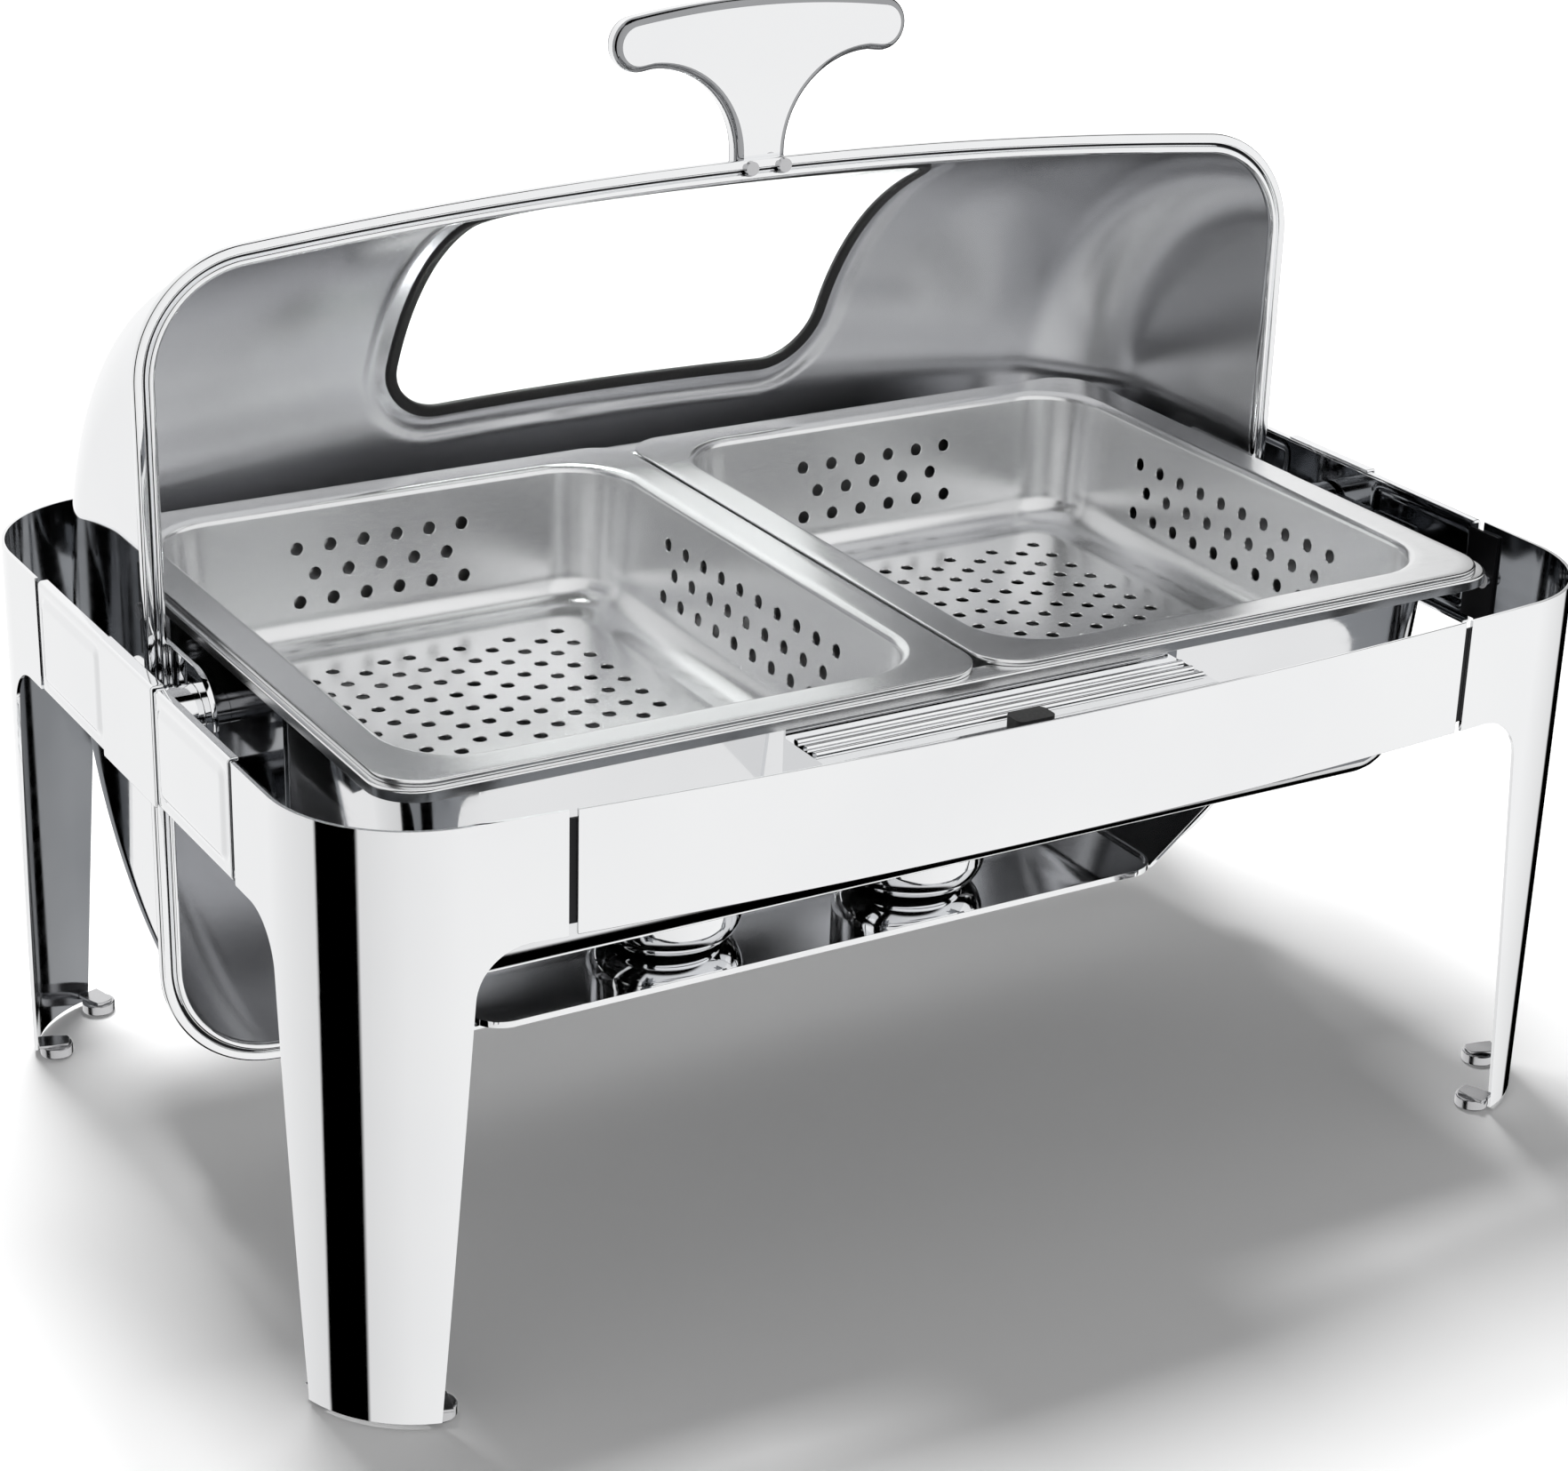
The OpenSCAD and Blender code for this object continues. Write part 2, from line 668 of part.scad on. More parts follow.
module fuel_cup(s) {
    color(steel) translate([s * cup_x, cup_y, cup_z]) difference() {
        rotate_extrude() difference() {
            cup_half(cup_r, cup_h, cup_edge);
            translate([0, cup_t]) cup_half(cup_r - cup_t, cup_h - 2 * cup_t, cup_edge - cup_t);
            translate([0, cup_h - 2 * cup_t]) square([mouth_r, 3 * cup_t]);
        }
        translate([s * cover_arm, 0, cup_h - 4]) cylinder(r = cover_pin_r, h = 8, $fn = 24);
    }
}

module cup_half(r, h, edge) {
    translate([0, edge]) square([r, h - edge]);
    square([r - edge, edge]);
    intersection() {
        translate([r - edge, edge]) circle(r = edge);
        translate([r - edge, 0]) square([edge, edge]);
    }
}

module cover_pin(s) {
    color("silver") translate([s * (cup_x + cover_arm), cup_y, cup_top - 4]) {
        cylinder(r = cover_pin_r, h = 7, $fn = 24);
        translate([0, 0, 6.2]) cylinder(r = 2 * cover_pin_r, h = 1.2, $fn = 32);
    }
}

// Swivelling snuffer cover over the cup's mouth.
module fuel_cover(s) {
    color(steel) translate([s * cup_x, cup_y, cup_top + 0.3]) difference() {
        union() {
            cylinder(r = cover_r, h = 1.5);
            translate([s > 0 ? 0 : -cover_arm, -5, 0]) cube([cover_arm, 10, 1.5]);
            translate([s * cover_arm, 0, 0]) cylinder(r = 5, h = 1.5);
        }
        translate([s * cover_arm, 0, -skin]) cylinder(r = cover_pin_r + pin_fit, h = 4, $fn = 24);
    }
}

module cover_knob(s) {
    color("black") translate([s * cup_x, cup_y, cup_top + 1.8]) {
        cylinder(r = 4, h = 3);
        translate([0, 0, 3]) cylinder(r = 7, h = 4);
    }
}

leg(-1, -1);  // leg_front_left
leg(1, -1);  // leg_front_right
leg(-1, 1);  // leg_back_left
leg(1, 1);  // leg_back_right
feet(-1, -1);  // feet_front_left
feet(1, -1);  // feet_front_right
feet(-1, 1);  // feet_back_left
feet(1, 1);  // feet_back_right
long_rail(-1);  // front_rail
long_rail(1);  // back_rail
side_rail(-1);  // left_rail
side_rail(1);  // right_rail
pivot_cover(-1);  // left_pivot_cover
pivot_cover(1);  // right_pivot_cover
frame_screws();
pivot_bracket(-1);  // left_pivot_bracket
pivot_bracket(1);  // right_pivot_bracket
pivot_pin(-1);  // left_pivot_pin
pivot_pin(1);  // right_pivot_pin
lid_rest();
lid_bumper();
rest_screws();
fuel_shelf();
shelf_hanger(-1);  // left_shelf_hanger
shelf_hanger(1);  // right_shelf_hanger
water_pan();
food_pan(-1);  // food_pan_left
food_pan(1);  // food_pan_right
lid_shell();
lid_end(-1);  // left_lid_end
lid_end(1);  // right_lid_end
lid_rim();
window_glass();
window_gasket();
lid_hub(-1);  // left_lid_hub
lid_hub(1);  // right_lid_hub
hub_rivets();
lid_handle();
handle_screws();
fuel_cup(-1);  // left_fuel_cup
fuel_cup(1);  // right_fuel_cup
cover_pin(-1);  // left_cover_pin
cover_pin(1);  // right_cover_pin
fuel_cover(-1);  // left_fuel_cover
fuel_cover(1);  // right_fuel_cover
cover_knob(-1);  // left_cover_knob
cover_knob(1);  // right_cover_knob
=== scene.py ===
"""Roll top chafer, dressed for the studio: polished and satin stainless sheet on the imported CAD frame."""
import json
from math import acos, asin, atan2, ceil, cos, hypot, pi, radians, sin, sqrt

import bmesh
import bpy
from mathutils import Matrix, Vector


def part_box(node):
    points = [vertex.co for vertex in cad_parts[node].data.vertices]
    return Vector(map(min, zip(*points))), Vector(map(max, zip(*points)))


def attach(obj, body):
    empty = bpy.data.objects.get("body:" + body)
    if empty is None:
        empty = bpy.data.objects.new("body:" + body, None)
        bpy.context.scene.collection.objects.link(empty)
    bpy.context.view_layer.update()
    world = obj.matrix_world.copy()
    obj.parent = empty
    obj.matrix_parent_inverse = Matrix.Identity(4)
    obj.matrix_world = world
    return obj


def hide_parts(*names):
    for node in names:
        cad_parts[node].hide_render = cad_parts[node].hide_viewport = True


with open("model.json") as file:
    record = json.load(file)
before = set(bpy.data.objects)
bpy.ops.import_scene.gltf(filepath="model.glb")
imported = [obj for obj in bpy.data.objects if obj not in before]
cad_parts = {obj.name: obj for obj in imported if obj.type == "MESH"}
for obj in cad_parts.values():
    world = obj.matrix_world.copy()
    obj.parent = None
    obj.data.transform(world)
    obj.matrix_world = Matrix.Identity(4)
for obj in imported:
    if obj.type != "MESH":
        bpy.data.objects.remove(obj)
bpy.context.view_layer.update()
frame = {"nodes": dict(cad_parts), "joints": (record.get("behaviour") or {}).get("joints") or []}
MM = 0.001


def mm_box(node):
    """Lowest and highest corner of a CAD node, in millimetres."""
    lo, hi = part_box(node)
    return lo / MM, hi / MM


# ---- sizes read from the frame, in millimetres ----

LEG_LO, LEG_HI = mm_box("leg_front_left")
FRONT_LO, FRONT_HI = mm_box("front_rail")
SHELL_LO, SHELL_HI = mm_box("lid_shell")
END_HI = mm_box("right_lid_end")[1]
WATER_LO, WATER_HI = mm_box("water_pan")
FOOD_LO, FOOD_HI = mm_box("food_pan_right")
SIDE_LO, SIDE_HI = mm_box("left_rail")
LID_JOINT = next(j for j in frame["joints"] if j["name"] == "lid_roll")

SHEET = 1.5
HALF_L = -LEG_LO.x
BOW = 13
HALF_W = -FRONT_LO.y - BOW
FRAME_H = LEG_HI.z
RAIL_Z = FRONT_LO.z
CORNER_R = 57
CORNER_X = HALF_L - CORNER_R
CORNER_Y = HALF_W - CORNER_R
BOW_R = (CORNER_X ** 2 / BOW + 2 * CORNER_R + BOW) / 2
BOW_Y = BOW_R - HALF_W - BOW
BOW_A = asin(CORNER_X / (BOW_R - CORNER_R))
ARC_LEN = CORNER_R * (pi / 2 - BOW_A)
LEG_FLANGE = LEG_HI.x + HALF_L
LEG_FOOT_W = 40.5                   # width of a leg face at the table, and below the rail
LEG_TOP_W = 55
ARCH_R = 22
LEG_SLOPE = (LEG_TOP_W - LEG_FOOT_W) / (RAIL_Z - ARCH_R)
ARCH_A = atan2(LEG_SLOPE, 1)
ARCH_S = LEG_FOOT_W + LEG_SLOPE * (RAIL_Z - ARCH_R) + ARCH_R / cos(ARCH_A)
SEAM = 3.5                          # gap between a leg and a rail's end
TONGUE_Z = (204, 246)
FRONT_HALF = HALF_L - LEG_FLANGE - SEAM
SIDE_HALF = HALF_W - LEG_FLANGE - SEAM
COVER_HALF = 29                     # half the width of a pivot cover

AXIS_Z = LID_JOINT["pos_m"][2] / MM
LID_R = SHELL_HI.y
LID_HALF = END_HI.x
LID_T = 1.2
RIM_Y = SHELL_LO.y
EDGE_R = 45
BARREL_R = 2500                     # the barrel's slow curve along its length
EDGE_X = LID_HALF - EDGE_R
EDGE_C = LID_R - BARREL_R + sqrt((BARREL_R - EDGE_R) ** 2 - EDGE_X ** 2)
EDGE_A = asin(EDGE_X / (BARREL_R - EDGE_R))
WIN_HALF = 113
WIN_LOW = radians(16)
WIN_HIGH = radians(71)
WIN_MID = (WIN_LOW + WIN_HIGH) / 2
WIN_CHORD = LID_R * sin((WIN_HIGH - WIN_LOW) / 2)
WIN_R = 28
PITCH = 16.2                        # drain holes along a row
ROW = 0.76 * PITCH
CUP_T = 1.2


# ---- materials ----

def new_material(name):
    mat = bpy.data.materials.new(name)
    mat.use_nodes = True
    tree = mat.node_tree
    tree.nodes.clear()
    out = tree.nodes.new("ShaderNodeOutputMaterial")
    bsdf = tree.nodes.new("ShaderNodeBsdfPrincipled")
    tree.links.new(bsdf.outputs["BSDF"], out.inputs["Surface"])
    return mat, tree, bsdf


def noise(tree, scale, detail=2.0, stretch=(1, 1, 1)):
    """A noise texture on object coordinates, which `stretch` scales."""
    coord = tree.nodes.new("ShaderNodeTexCoord")
    mapping = tree.nodes.new("ShaderNodeMapping")
    mapping.inputs["Scale"].default_value = stretch
    tex = tree.nodes.new("ShaderNodeTexNoise")
    tex.inputs["Scale"].default_value = scale
    tex.inputs["Detail"].default_value = detail
    tree.links.new(coord.outputs["Object"], mapping.inputs["Vector"])
    tree.links.new(mapping.outputs["Vector"], tex.inputs["Vector"])
    return tex


def ramp(tree, source, low, high):
    """Maps a 0 to 1 value to a colour between `low` and `high`."""
    node = tree.nodes.new("ShaderNodeValToRGB")
    node.color_ramp.elements[0].position = 0.3
    node.color_ramp.elements[1].position = 0.7
    node.color_ramp.elements[0].color = (*low, 1)
    node.color_ramp.elements[1].color = (*high, 1)
    tree.links.new(source, node.inputs["Fac"])
    return node.outputs["Color"]


def spread(tree, source, low, high):
    """Maps a 0 to 1 value to the range low to high."""
    node = tree.nodes.new("ShaderNodeMapRange")
    node.inputs["From Min"].default_value = 0.3
    node.inputs["From Max"].default_value = 0.7
    node.inputs["To Min"].default_value = low
    node.inputs["To Max"].default_value = high
    tree.links.new(source, node.inputs["Value"])
    return node.outputs["Result"]


def bump(tree, bsdf, source, strength, distance):
    node = tree.nodes.new("ShaderNodeBump")
    node.inputs["Strength"].default_value = strength
    node.inputs["Distance"].default_value = distance
    tree.links.new(source, node.inputs["Height"])
    tree.links.new(node.outputs["Normal"], bsdf.inputs["Normal"])


def metal(name, light, dark, rough_low, rough_high, brush=(1, 1, 1), grain=40.0, strength=0.02):
    """Stainless sheet with faint cloudy colour, smudged gloss and a fine grain stretched by `brush`."""
    mat, tree, bsdf = new_material(name)
    bsdf.inputs["Metallic"].default_value = 1.0
    cloud = noise(tree, 9.0, 3.0)
    streak = noise(tree, grain, 6.0, brush)
    tree.links.new(ramp(tree, cloud.outputs["Fac"], dark, light), bsdf.inputs["Base Color"])
    tree.links.new(spread(tree, streak.outputs["Fac"], rough_low, rough_high), bsdf.inputs["Roughness"])
    bump(tree, bsdf, streak.outputs["Fac"], strength, 0.0004)
    return mat


def rubber(name):
    mat, tree, bsdf = new_material(name)
    grain = noise(tree, 600.0, 4.0)
    tree.links.new(ramp(tree, grain.outputs["Fac"], (0.006, 0.006, 0.006), (0.018, 0.018, 0.018)),
                   bsdf.inputs["Base Color"])
    tree.links.new(spread(tree, grain.outputs["Fac"], 0.45, 0.62), bsdf.inputs["Roughness"])
    bump(tree, bsdf, grain.outputs["Fac"], 0.15, 0.0003)
    return mat


def clear_glass(name):
    mat, tree, bsdf = new_material(name)
    bsdf.inputs["Transmission Weight"].default_value = 1.0
    bsdf.inputs["IOR"].default_value = 1.45
    bsdf.inputs["Base Color"].default_value = (0.97, 0.99, 0.985, 1)
    haze = noise(tree, 14.0, 4.0)
    tree.links.new(spread(tree, haze.outputs["Fac"], 0.0, 0.012), bsdf.inputs["Roughness"])
    return mat


MIRROR = metal("mirror_steel", (0.95, 0.955, 0.96), (0.92, 0.925, 0.935), 0.025, 0.05,
               (1, 1, 12), 18.0, 0.004)
# Dark steel for the frame sheets' inside faces and the pivot brackets: painted shade and dark reflection, not
# a real finish.
INNER_SHADE = metal("inner_painted_shade_steel", (0.30, 0.31, 0.325), (0.22, 0.23, 0.245), 0.06, 0.14, (1, 1, 6), 24.0, 0.01)
SATIN = metal("satin_steel", (0.90, 0.905, 0.91), (0.84, 0.845, 0.85), 0.20, 0.27,
              (1, 14, 14), 160.0, 0.015)
DOME = metal("dome_satin_steel", (0.76, 0.765, 0.78), (0.69, 0.695, 0.71), 0.21, 0.25,
             (1, 14, 14), 120.0, 0.003)
# Near-black steel for the seam tongues and the rim's groove: painted shade in the seams and the groove.
SEAM_SHADE = metal("painted_seam_shade_steel", (0.03, 0.03, 0.032), (0.02, 0.02, 0.022), 0.25, 0.4)
SCREW = metal("screw_steel", (0.62, 0.62, 0.63), (0.50, 0.50, 0.51), 0.12, 0.25, (1, 1, 1), 90.0, 0.03)
# Darker steel for the handle's rounded edges: a painted dark reflection that outlines the handle.
EDGE_SHADE = metal("painted_dark_edge_steel", (0.42, 0.425, 0.435), (0.34, 0.345, 0.355), 0.05, 0.10,
             (1, 1, 6), 24.0, 0.006)
RUBBER = rubber("black_rubber")
KNOB = rubber("knob_phenolic")
GLASS = clear_glass("window_glass")
WATER_OUT = metal("water_pan_outside", (0.86, 0.865, 0.875), (0.80, 0.805, 0.815), 0.05, 0.10,
                  (1, 1, 14), 30.0, 0.006)


# ---- mesh helpers ----

def piece(name, verts, faces, body, mats, slot, nodes=(), sharp=35):
    """A mesh piece in millimetres that rides on `body` and may stand for CAD nodes."""
    mesh = bpy.data.meshes.new(name)
    mesh.from_pydata([tuple(c * MM for c in v) for v in verts], [], faces)
    bm = bmesh.new()
    bm.from_mesh(mesh)
    bmesh.ops.remove_doubles(bm, verts=bm.verts, dist=2e-6)
    bmesh.ops.recalc_face_normals(bm, faces=bm.faces)
    bm.to_mesh(mesh)
    bm.free()
    mesh.polygons.foreach_set("use_smooth", [True] * len(mesh.polygons))
    mesh.set_sharp_from_angle(angle=radians(sharp))
    obj = bpy.data.objects.new(name, mesh)
    bpy.context.scene.collection.objects.link(obj)
    for mat in mats if isinstance(mats, (list, tuple)) else [mats]:
        mesh.materials.append(mat)
    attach(obj, body)
    if nodes:
        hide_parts(*nodes)
    return obj


def grid(rows, close_rows=False, close_cols=False):
    """Vertices and quads of a grid given as a list of rows of points."""
    count = len(rows[0])
    verts = [p for row in rows for p in row]
    faces = []
    for j in range(len(rows) - (0 if close_rows else 1)):
        for i in range(count - (0 if close_cols else 1)):
            a, b = j * count + i, j * count + (i + 1) % count
            c = ((j + 1) % len(rows)) * count
            faces.append((a, b, c + (i + 1) % count, c + i))
    return verts, faces


def join(*parts):
    """Several (verts, faces) as one."""
    verts, faces = [], []
    for v, f in parts:
        base = len(verts)
        verts += v
        faces += [tuple(i + base for i in face) for face in f]
    return verts, faces


def flip(part, x=False, y=False):
    """Mirror image of (verts, faces)."""
    sx, sy = (-1 if x else 1), (-1 if y else 1)
    return [(sx * p[0], sy * p[1], p[2]) for p in part[0]], part[1]


def thicken(obj, t, inner_slot=0, offset=-1):
    mod = obj.modifiers.new("thickness", "SOLIDIFY")
    mod.thickness = t * MM
    mod.offset = offset
    mod.use_even_offset = True
    # inner_slot picks the back faces' material; on the frame sheets that is the dark steel with painted shade.
    mod.material_offset = inner_slot


def soften(obj, width, segments=2, angle=40):
    mod = obj.modifiers.new("edge", "BEVEL")
    mod.width = width * MM
    mod.segments = segments
    mod.limit_method = "ANGLE"
    mod.angle_limit = radians(angle)
    mod.use_clamp_overlap = True
    weighted = obj.modifiers.new("normals", "WEIGHTED_NORMAL")
    weighted.keep_sharp = True


def lerp(a, b, t):
    return a + (b - a) * t


def steps(a, b, n):
    return [lerp(a, b, i / n) for i in range(n + 1)]


def smooth(low, high, x):
    t = min(max((x - low) / (high - low), 0.0), 1.0)
    return t * t * (3 - 2 * t)


def box_distance(x, y, half_x, half_y, r):
    """Signed distance from a rounded rectangle's outline, negative inside."""
    dx, dy = abs(x) - half_x + r, abs(y) - half_y + r
    return hypot(max(dx, 0), max(dy, 0)) + min(max(dx, dy), 0) - r


def rounded_loop(half_x, half_y, r, per_corner=10, per_side=6):
    """Points round a rounded rectangle with the outward normal of each: (x, y, nx, ny)."""
    r = max(r, 0.05)
    loop = []
    for quarter in range(4):
        cx = (half_x - r) * (1 if quarter in (0, 3) else -1)
        cy = (half_y - r) * (1 if quarter in (0, 1) else -1)
        for i in range(per_corner + 1):
            a = quarter * pi / 2 + i / per_corner * pi / 2
            loop.append((cx + r * cos(a), cy + r * sin(a), cos(a), sin(a)))
        nx, ny = cos((quarter + 1) * pi / 2), sin((quarter + 1) * pi / 2)
        side = 2 * ((half_x if quarter in (0, 2) else half_y) - r)
        px, py = loop[-1][:2]
        for i in range(1, per_side):
            d = side * i / per_side
            loop.append((px - ny * d, py + nx * d, nx, ny))
    return loop


def lathe(profile, centre, segments=48):
    """Turns (radius, height) points about a vertical line through centre."""
    rows = []
    for r, z in profile:
        rows.append([(centre[0] + r * cos(2 * pi * i / segments), centre[1] + r * sin(2 * pi * i / segments),
                      centre[2] + z) for i in range(segments)])
    return grid(rows, close_cols=True)


def arc(cx, cy, r, a0, a1, n):
    """Points on an arc, angles in degrees."""
    return [(cx + r * cos(radians(a)), cy + r * sin(radians(a))) for a in steps(a0, a1, n)]


# ---- frame ----

def plan_point(u):
    """Outside of the frame at arc length u from the front left corner's side tangent."""
    if u < 0:
        return -HALF_L, -CORNER_Y - u
    if u <= ARC_LEN:
        a = u / CORNER_R
        return -CORNER_X - CORNER_R * cos(a), -CORNER_Y - CORNER_R * sin(a)
    a = BOW_A - (u - ARC_LEN) / BOW_R
    return -BOW_R * sin(a), BOW_Y - BOW_R * cos(a)


def u_side(s):
    return CORNER_R * asin(1 - s / CORNER_R) if s < CORNER_R else CORNER_R - s


def u_front(s):
    x = HALF_L - s
    if x >= CORNER_X + CORNER_R * sin(BOW_A):
        return CORNER_R * acos(1 - s / CORNER_R)
    return ARC_LEN + BOW_R * (BOW_A - asin(x / BOW_R))


def leg_edge():
    """The free edge of a leg face as (s, z), from the table up to the rail."""
    blade_top = RAIL_Z - ARCH_R + ARCH_R * sin(ARCH_A)
    edge = [(LEG_FOOT_W + LEG_SLOPE * z, z) for z in steps(LEG_LO.z, blade_top, 24)]
    for i in range(1, 19):
        a = pi - ARCH_A - i / 18 * (pi / 2 - ARCH_A)
        edge.append((ARCH_S + ARCH_R * cos(a), RAIL_Z - ARCH_R + ARCH_R * sin(a)))
    return edge


def leg_mesh():
    columns = 120
    rows = []
    for s, z in leg_edge() + [(ARCH_S, z) for z in steps(RAIL_Z, FRAME_H, 8)[1:]]:
        rows.append([(*plan_point(u), z) for u in steps(u_side(s), u_front(s), columns)])
    parts = [grid(rows)]
    for side in (u_side, u_front):
        us = [side(s) for s in steps(ARCH_S, LEG_FLANGE, 6)]
        parts.append(grid([[(*plan_point(u), z) for u in us] for z in steps(RAIL_Z, FRAME_H, 8)]))
    return join(*parts)


def make_legs():
    mesh = leg_mesh()
    for side, sx in (("left", False), ("right", True)):
        for end, sy in (("front", False), ("back", True)):
            name = f"leg_{end}_{side}"
            # The sheet's inside faces get the dark steel: painted shade.
            obj = piece(f"{name}_sheet", *flip(mesh, sx, sy), "stand", [MIRROR, INNER_SHADE], "mirror_steel", [name])
            outward(obj)
            thicken(obj, SHEET, 1)
            soften(obj, 0.35)


def outward(obj):
    """Turns an open sheet's normals away from the object's middle axis."""
    mesh = obj.data
    total = sum(p.area * (p.normal.x * p.center.x + p.normal.y * p.center.y) for p in mesh.polygons)
    if total < 0:
        mesh.flip_normals()


def make_long_rails():
    a = asin(FRONT_HALF / BOW_R)
    rows = [[(BOW_R * sin(t), BOW_Y - BOW_R * cos(t), z) for t in steps(-a, a, 90)]
            for z in steps(RAIL_Z, FRAME_H, 10)]
    rail = grid(rows)
    for end, back in (("front", False), ("back", True)):
        # The sheet's inside faces get the dark steel: painted shade.
        obj = piece(f"{end}_rail_sheet", *flip(rail, y=back), "stand", [MIRROR, INNER_SHADE], "mirror_steel",
                    [f"{end}_rail"])
        outward(obj)
        thicken(obj, SHEET, 1)
        soften(obj, 0.35)


def make_tongues():
    """The rails' tongues in the seams, coloured near-black as painted shade, so they show as black lines."""
    r = BOW_R - SHEET - 0.1
    a0, a1 = asin((FRONT_HALF - 4) / BOW_R), asin((FRONT_HALF + 15) / BOW_R)
    heights = steps(*TONGUE_Z, 4)
    front = grid([[(-r * sin(t), BOW_Y - r * cos(t), z) for t in steps(a0, a1, 6)] for z in heights])
    x = -HALF_L + SHEET + 0.05
    side = grid([[(x, -y, z) for y in steps(SIDE_HALF - 4, SIDE_HALF + 15, 6)] for z in heights])
    parts = [flip(p, sx, sy) for p in (front, side) for sx in (False, True) for sy in (False, True)]
    obj = piece("seam_tongues", *join(*parts), "stand", SEAM_SHADE, "mirror_steel")
    outward(obj)
    thicken(obj, SHEET)
    soften(obj, 0.2)


def side_rail_profile():
    """(x, z) round the sheet of the left rail, from the lower lip to the upper one."""
    out, bend = -HALF_L, 1.8
    lip = SIDE_HI.x
    low = [(lip, RAIL_Z), (out + bend, RAIL_Z)] + arc(out + bend, RAIL_Z + bend, bend, 270, 180, 5)[1:]
    face = [(out, z) for z in steps(RAIL_Z + bend, FRAME_H - bend, 46)][1:-1]
    high = arc(out + bend, FRAME_H - bend, bend, 180, 90, 5) + [(lip, FRAME_H)]
    return low + face + high


def make_side_rails():
    profile = side_rail_profile()
    panel = (SIDE_HALF - COVER_HALF - 8) / 2
    panel_y = SIDE_HALF - 4 - panel
    mid_z, half_z = (RAIL_Z + FRAME_H) / 2, (FRAME_H - RAIL_Z) / 2 - 6
    rows = []
    for y in steps(-SIDE_HALF, SIDE_HALF, 210):
        row = []
        for x, z in profile:
            d = box_distance(abs(y) - panel_y, z - mid_z, panel, half_z, 4)
            rise = 1.0 - smooth(-2.6, 0.0, d)
            groove = 0.35 * (1 - smooth(0.0, 1.2, abs(d - 0.9)))
            on_face = x < -HALF_L + 0.01
            row.append((x - (rise - groove if on_face else 0), y, z))
        rows.append(row)
    mesh = grid(rows)
    for side, right in (("left", False), ("right", True)):
        # The sheet's inside faces get the dark steel: painted shade.
        obj = piece(f"{side}_rail_sheet", *flip(mesh, right), "stand", [MIRROR, INNER_SHADE], "mirror_steel",
                    [f"{side}_rail"], sharp=60)
        outward(obj)
        thicken(obj, SHEET, 1)
        soften(obj, 0.3, 2, 60)


def make_pivot_covers():
    """Flat plate with softly rolled edges, folded over the rail's top."""
    t, bend = 1.2, 1.6
    out = -HALF_L - t
    path = [(out, RAIL_Z)] + [(out, z) for z in steps(RAIL_Z + 1, FRAME_H + t - bend, 20)]
    path += arc(out + bend, FRAME_H + t - bend, bend, 180, 90, 5)[1:] + [(SIDE_HI.x, FRAME_H + t)]
    mesh = grid([[(x, y, z) for x, z in path] for y in steps(-COVER_HALF, COVER_HALF, 30)])
    for side, right in (("left", False), ("right", True)):
        # The plate's inside faces get the dark steel: painted shade.
        obj = piece(f"{side}_pivot_cover_plate", *flip(mesh, right), "stand", [MIRROR, INNER_SHADE], "mirror_steel",
                    [f"{side}_pivot_cover"])
        outward(obj)
        thicken(obj, t - 0.05, 1)
        soften(obj, 0.45, 3)


def make_feet():
    """Turned foot discs with a rounded rim, and their tabs."""
    inner = CORNER_R - SHEET
    edge = asin((CORNER_R - LEG_FOOT_W) / CORNER_R)
    disc = [(0.01, 0)] + arc(6.7, 0.8, 0.8, 270, 360, 4) + arc(6.7, 4.2, 0.8, 0, 90, 4)
    disc += [(4.6, 5), (4.2, 5.6), (3, 5.9), (0.01, 5.9)]
    parts = []
    for a in (pi + edge, 1.5 * pi - edge):
        reach = inner - 8.5
        cx, cy = -CORNER_X + reach * cos(a), -CORNER_Y + reach * sin(a)
        parts.append(lathe(disc, (cx, cy, 0), 40))
        along, across = Vector((cos(a), sin(a), 0)), Vector((-sin(a), cos(a), 0))
        tab = []
        for z in (5.0, 6.4):
            for d, w in ((-5, -4), (-6, -2), (-6, 2), (-5, 4), (2, 5), (8.1, 5), (8.1, -5), (2, -5)):
                p = Vector((cx, cy, z)) + along * d + across * w
                tab.append(tuple(p))
        sides = [(i, (i + 1) % 8, 8 + (i + 1) % 8, 8 + i) for i in range(8)]
        parts.append((tab, sides + [tuple(range(7, -1, -1)), tuple(range(8, 16))]))
    mesh = join(*parts)
    for side, sx in (("left", False), ("right", True)):
        for end, sy in (("front", False), ("back", True)):
            obj = piece(f"feet_{end}_{side}_pads", *flip(mesh, sx, sy), "stand", SCREW, "mirror_steel",
                        [f"feet_{end}_{side}"])
            soften(obj, 0.25)


# ---- lid ----

def lid_outline():
    """(x, r) along the barrel, from the left flat end to the right one."""
    half_arc = pi / 2 - EDGE_A
    left = [(-EDGE_X - EDGE_R * cos(a), EDGE_C + EDGE_R * sin(a)) for a in steps(0, half_arc, 26)]
    span = BARREL_R * EDGE_A
    barrel = [(BARREL_R * sin(b), LID_R - BARREL_R + BARREL_R * cos(b))
              for b in steps(-EDGE_A, EDGE_A, ceil(2 * span / 2.4))]
    right = [(-x, r) for x, r in reversed(left)]
    return left + barrel[1:-1] + right


def on_lid(x, r, a):
    """A point at radius r and angle a above the horizontal, behind the roll axis."""
    return x, r * cos(a), AXIS_Z + r * sin(a)


def window_offset(x, r, a):
    """Distance of a point on the lid from the window's outline, negative inside."""
    if abs(a - WIN_MID) > 1.3:
        return 100.0
    return box_distance(x, r * sin(a - WIN_MID), WIN_HALF, WIN_CHORD, WIN_R)


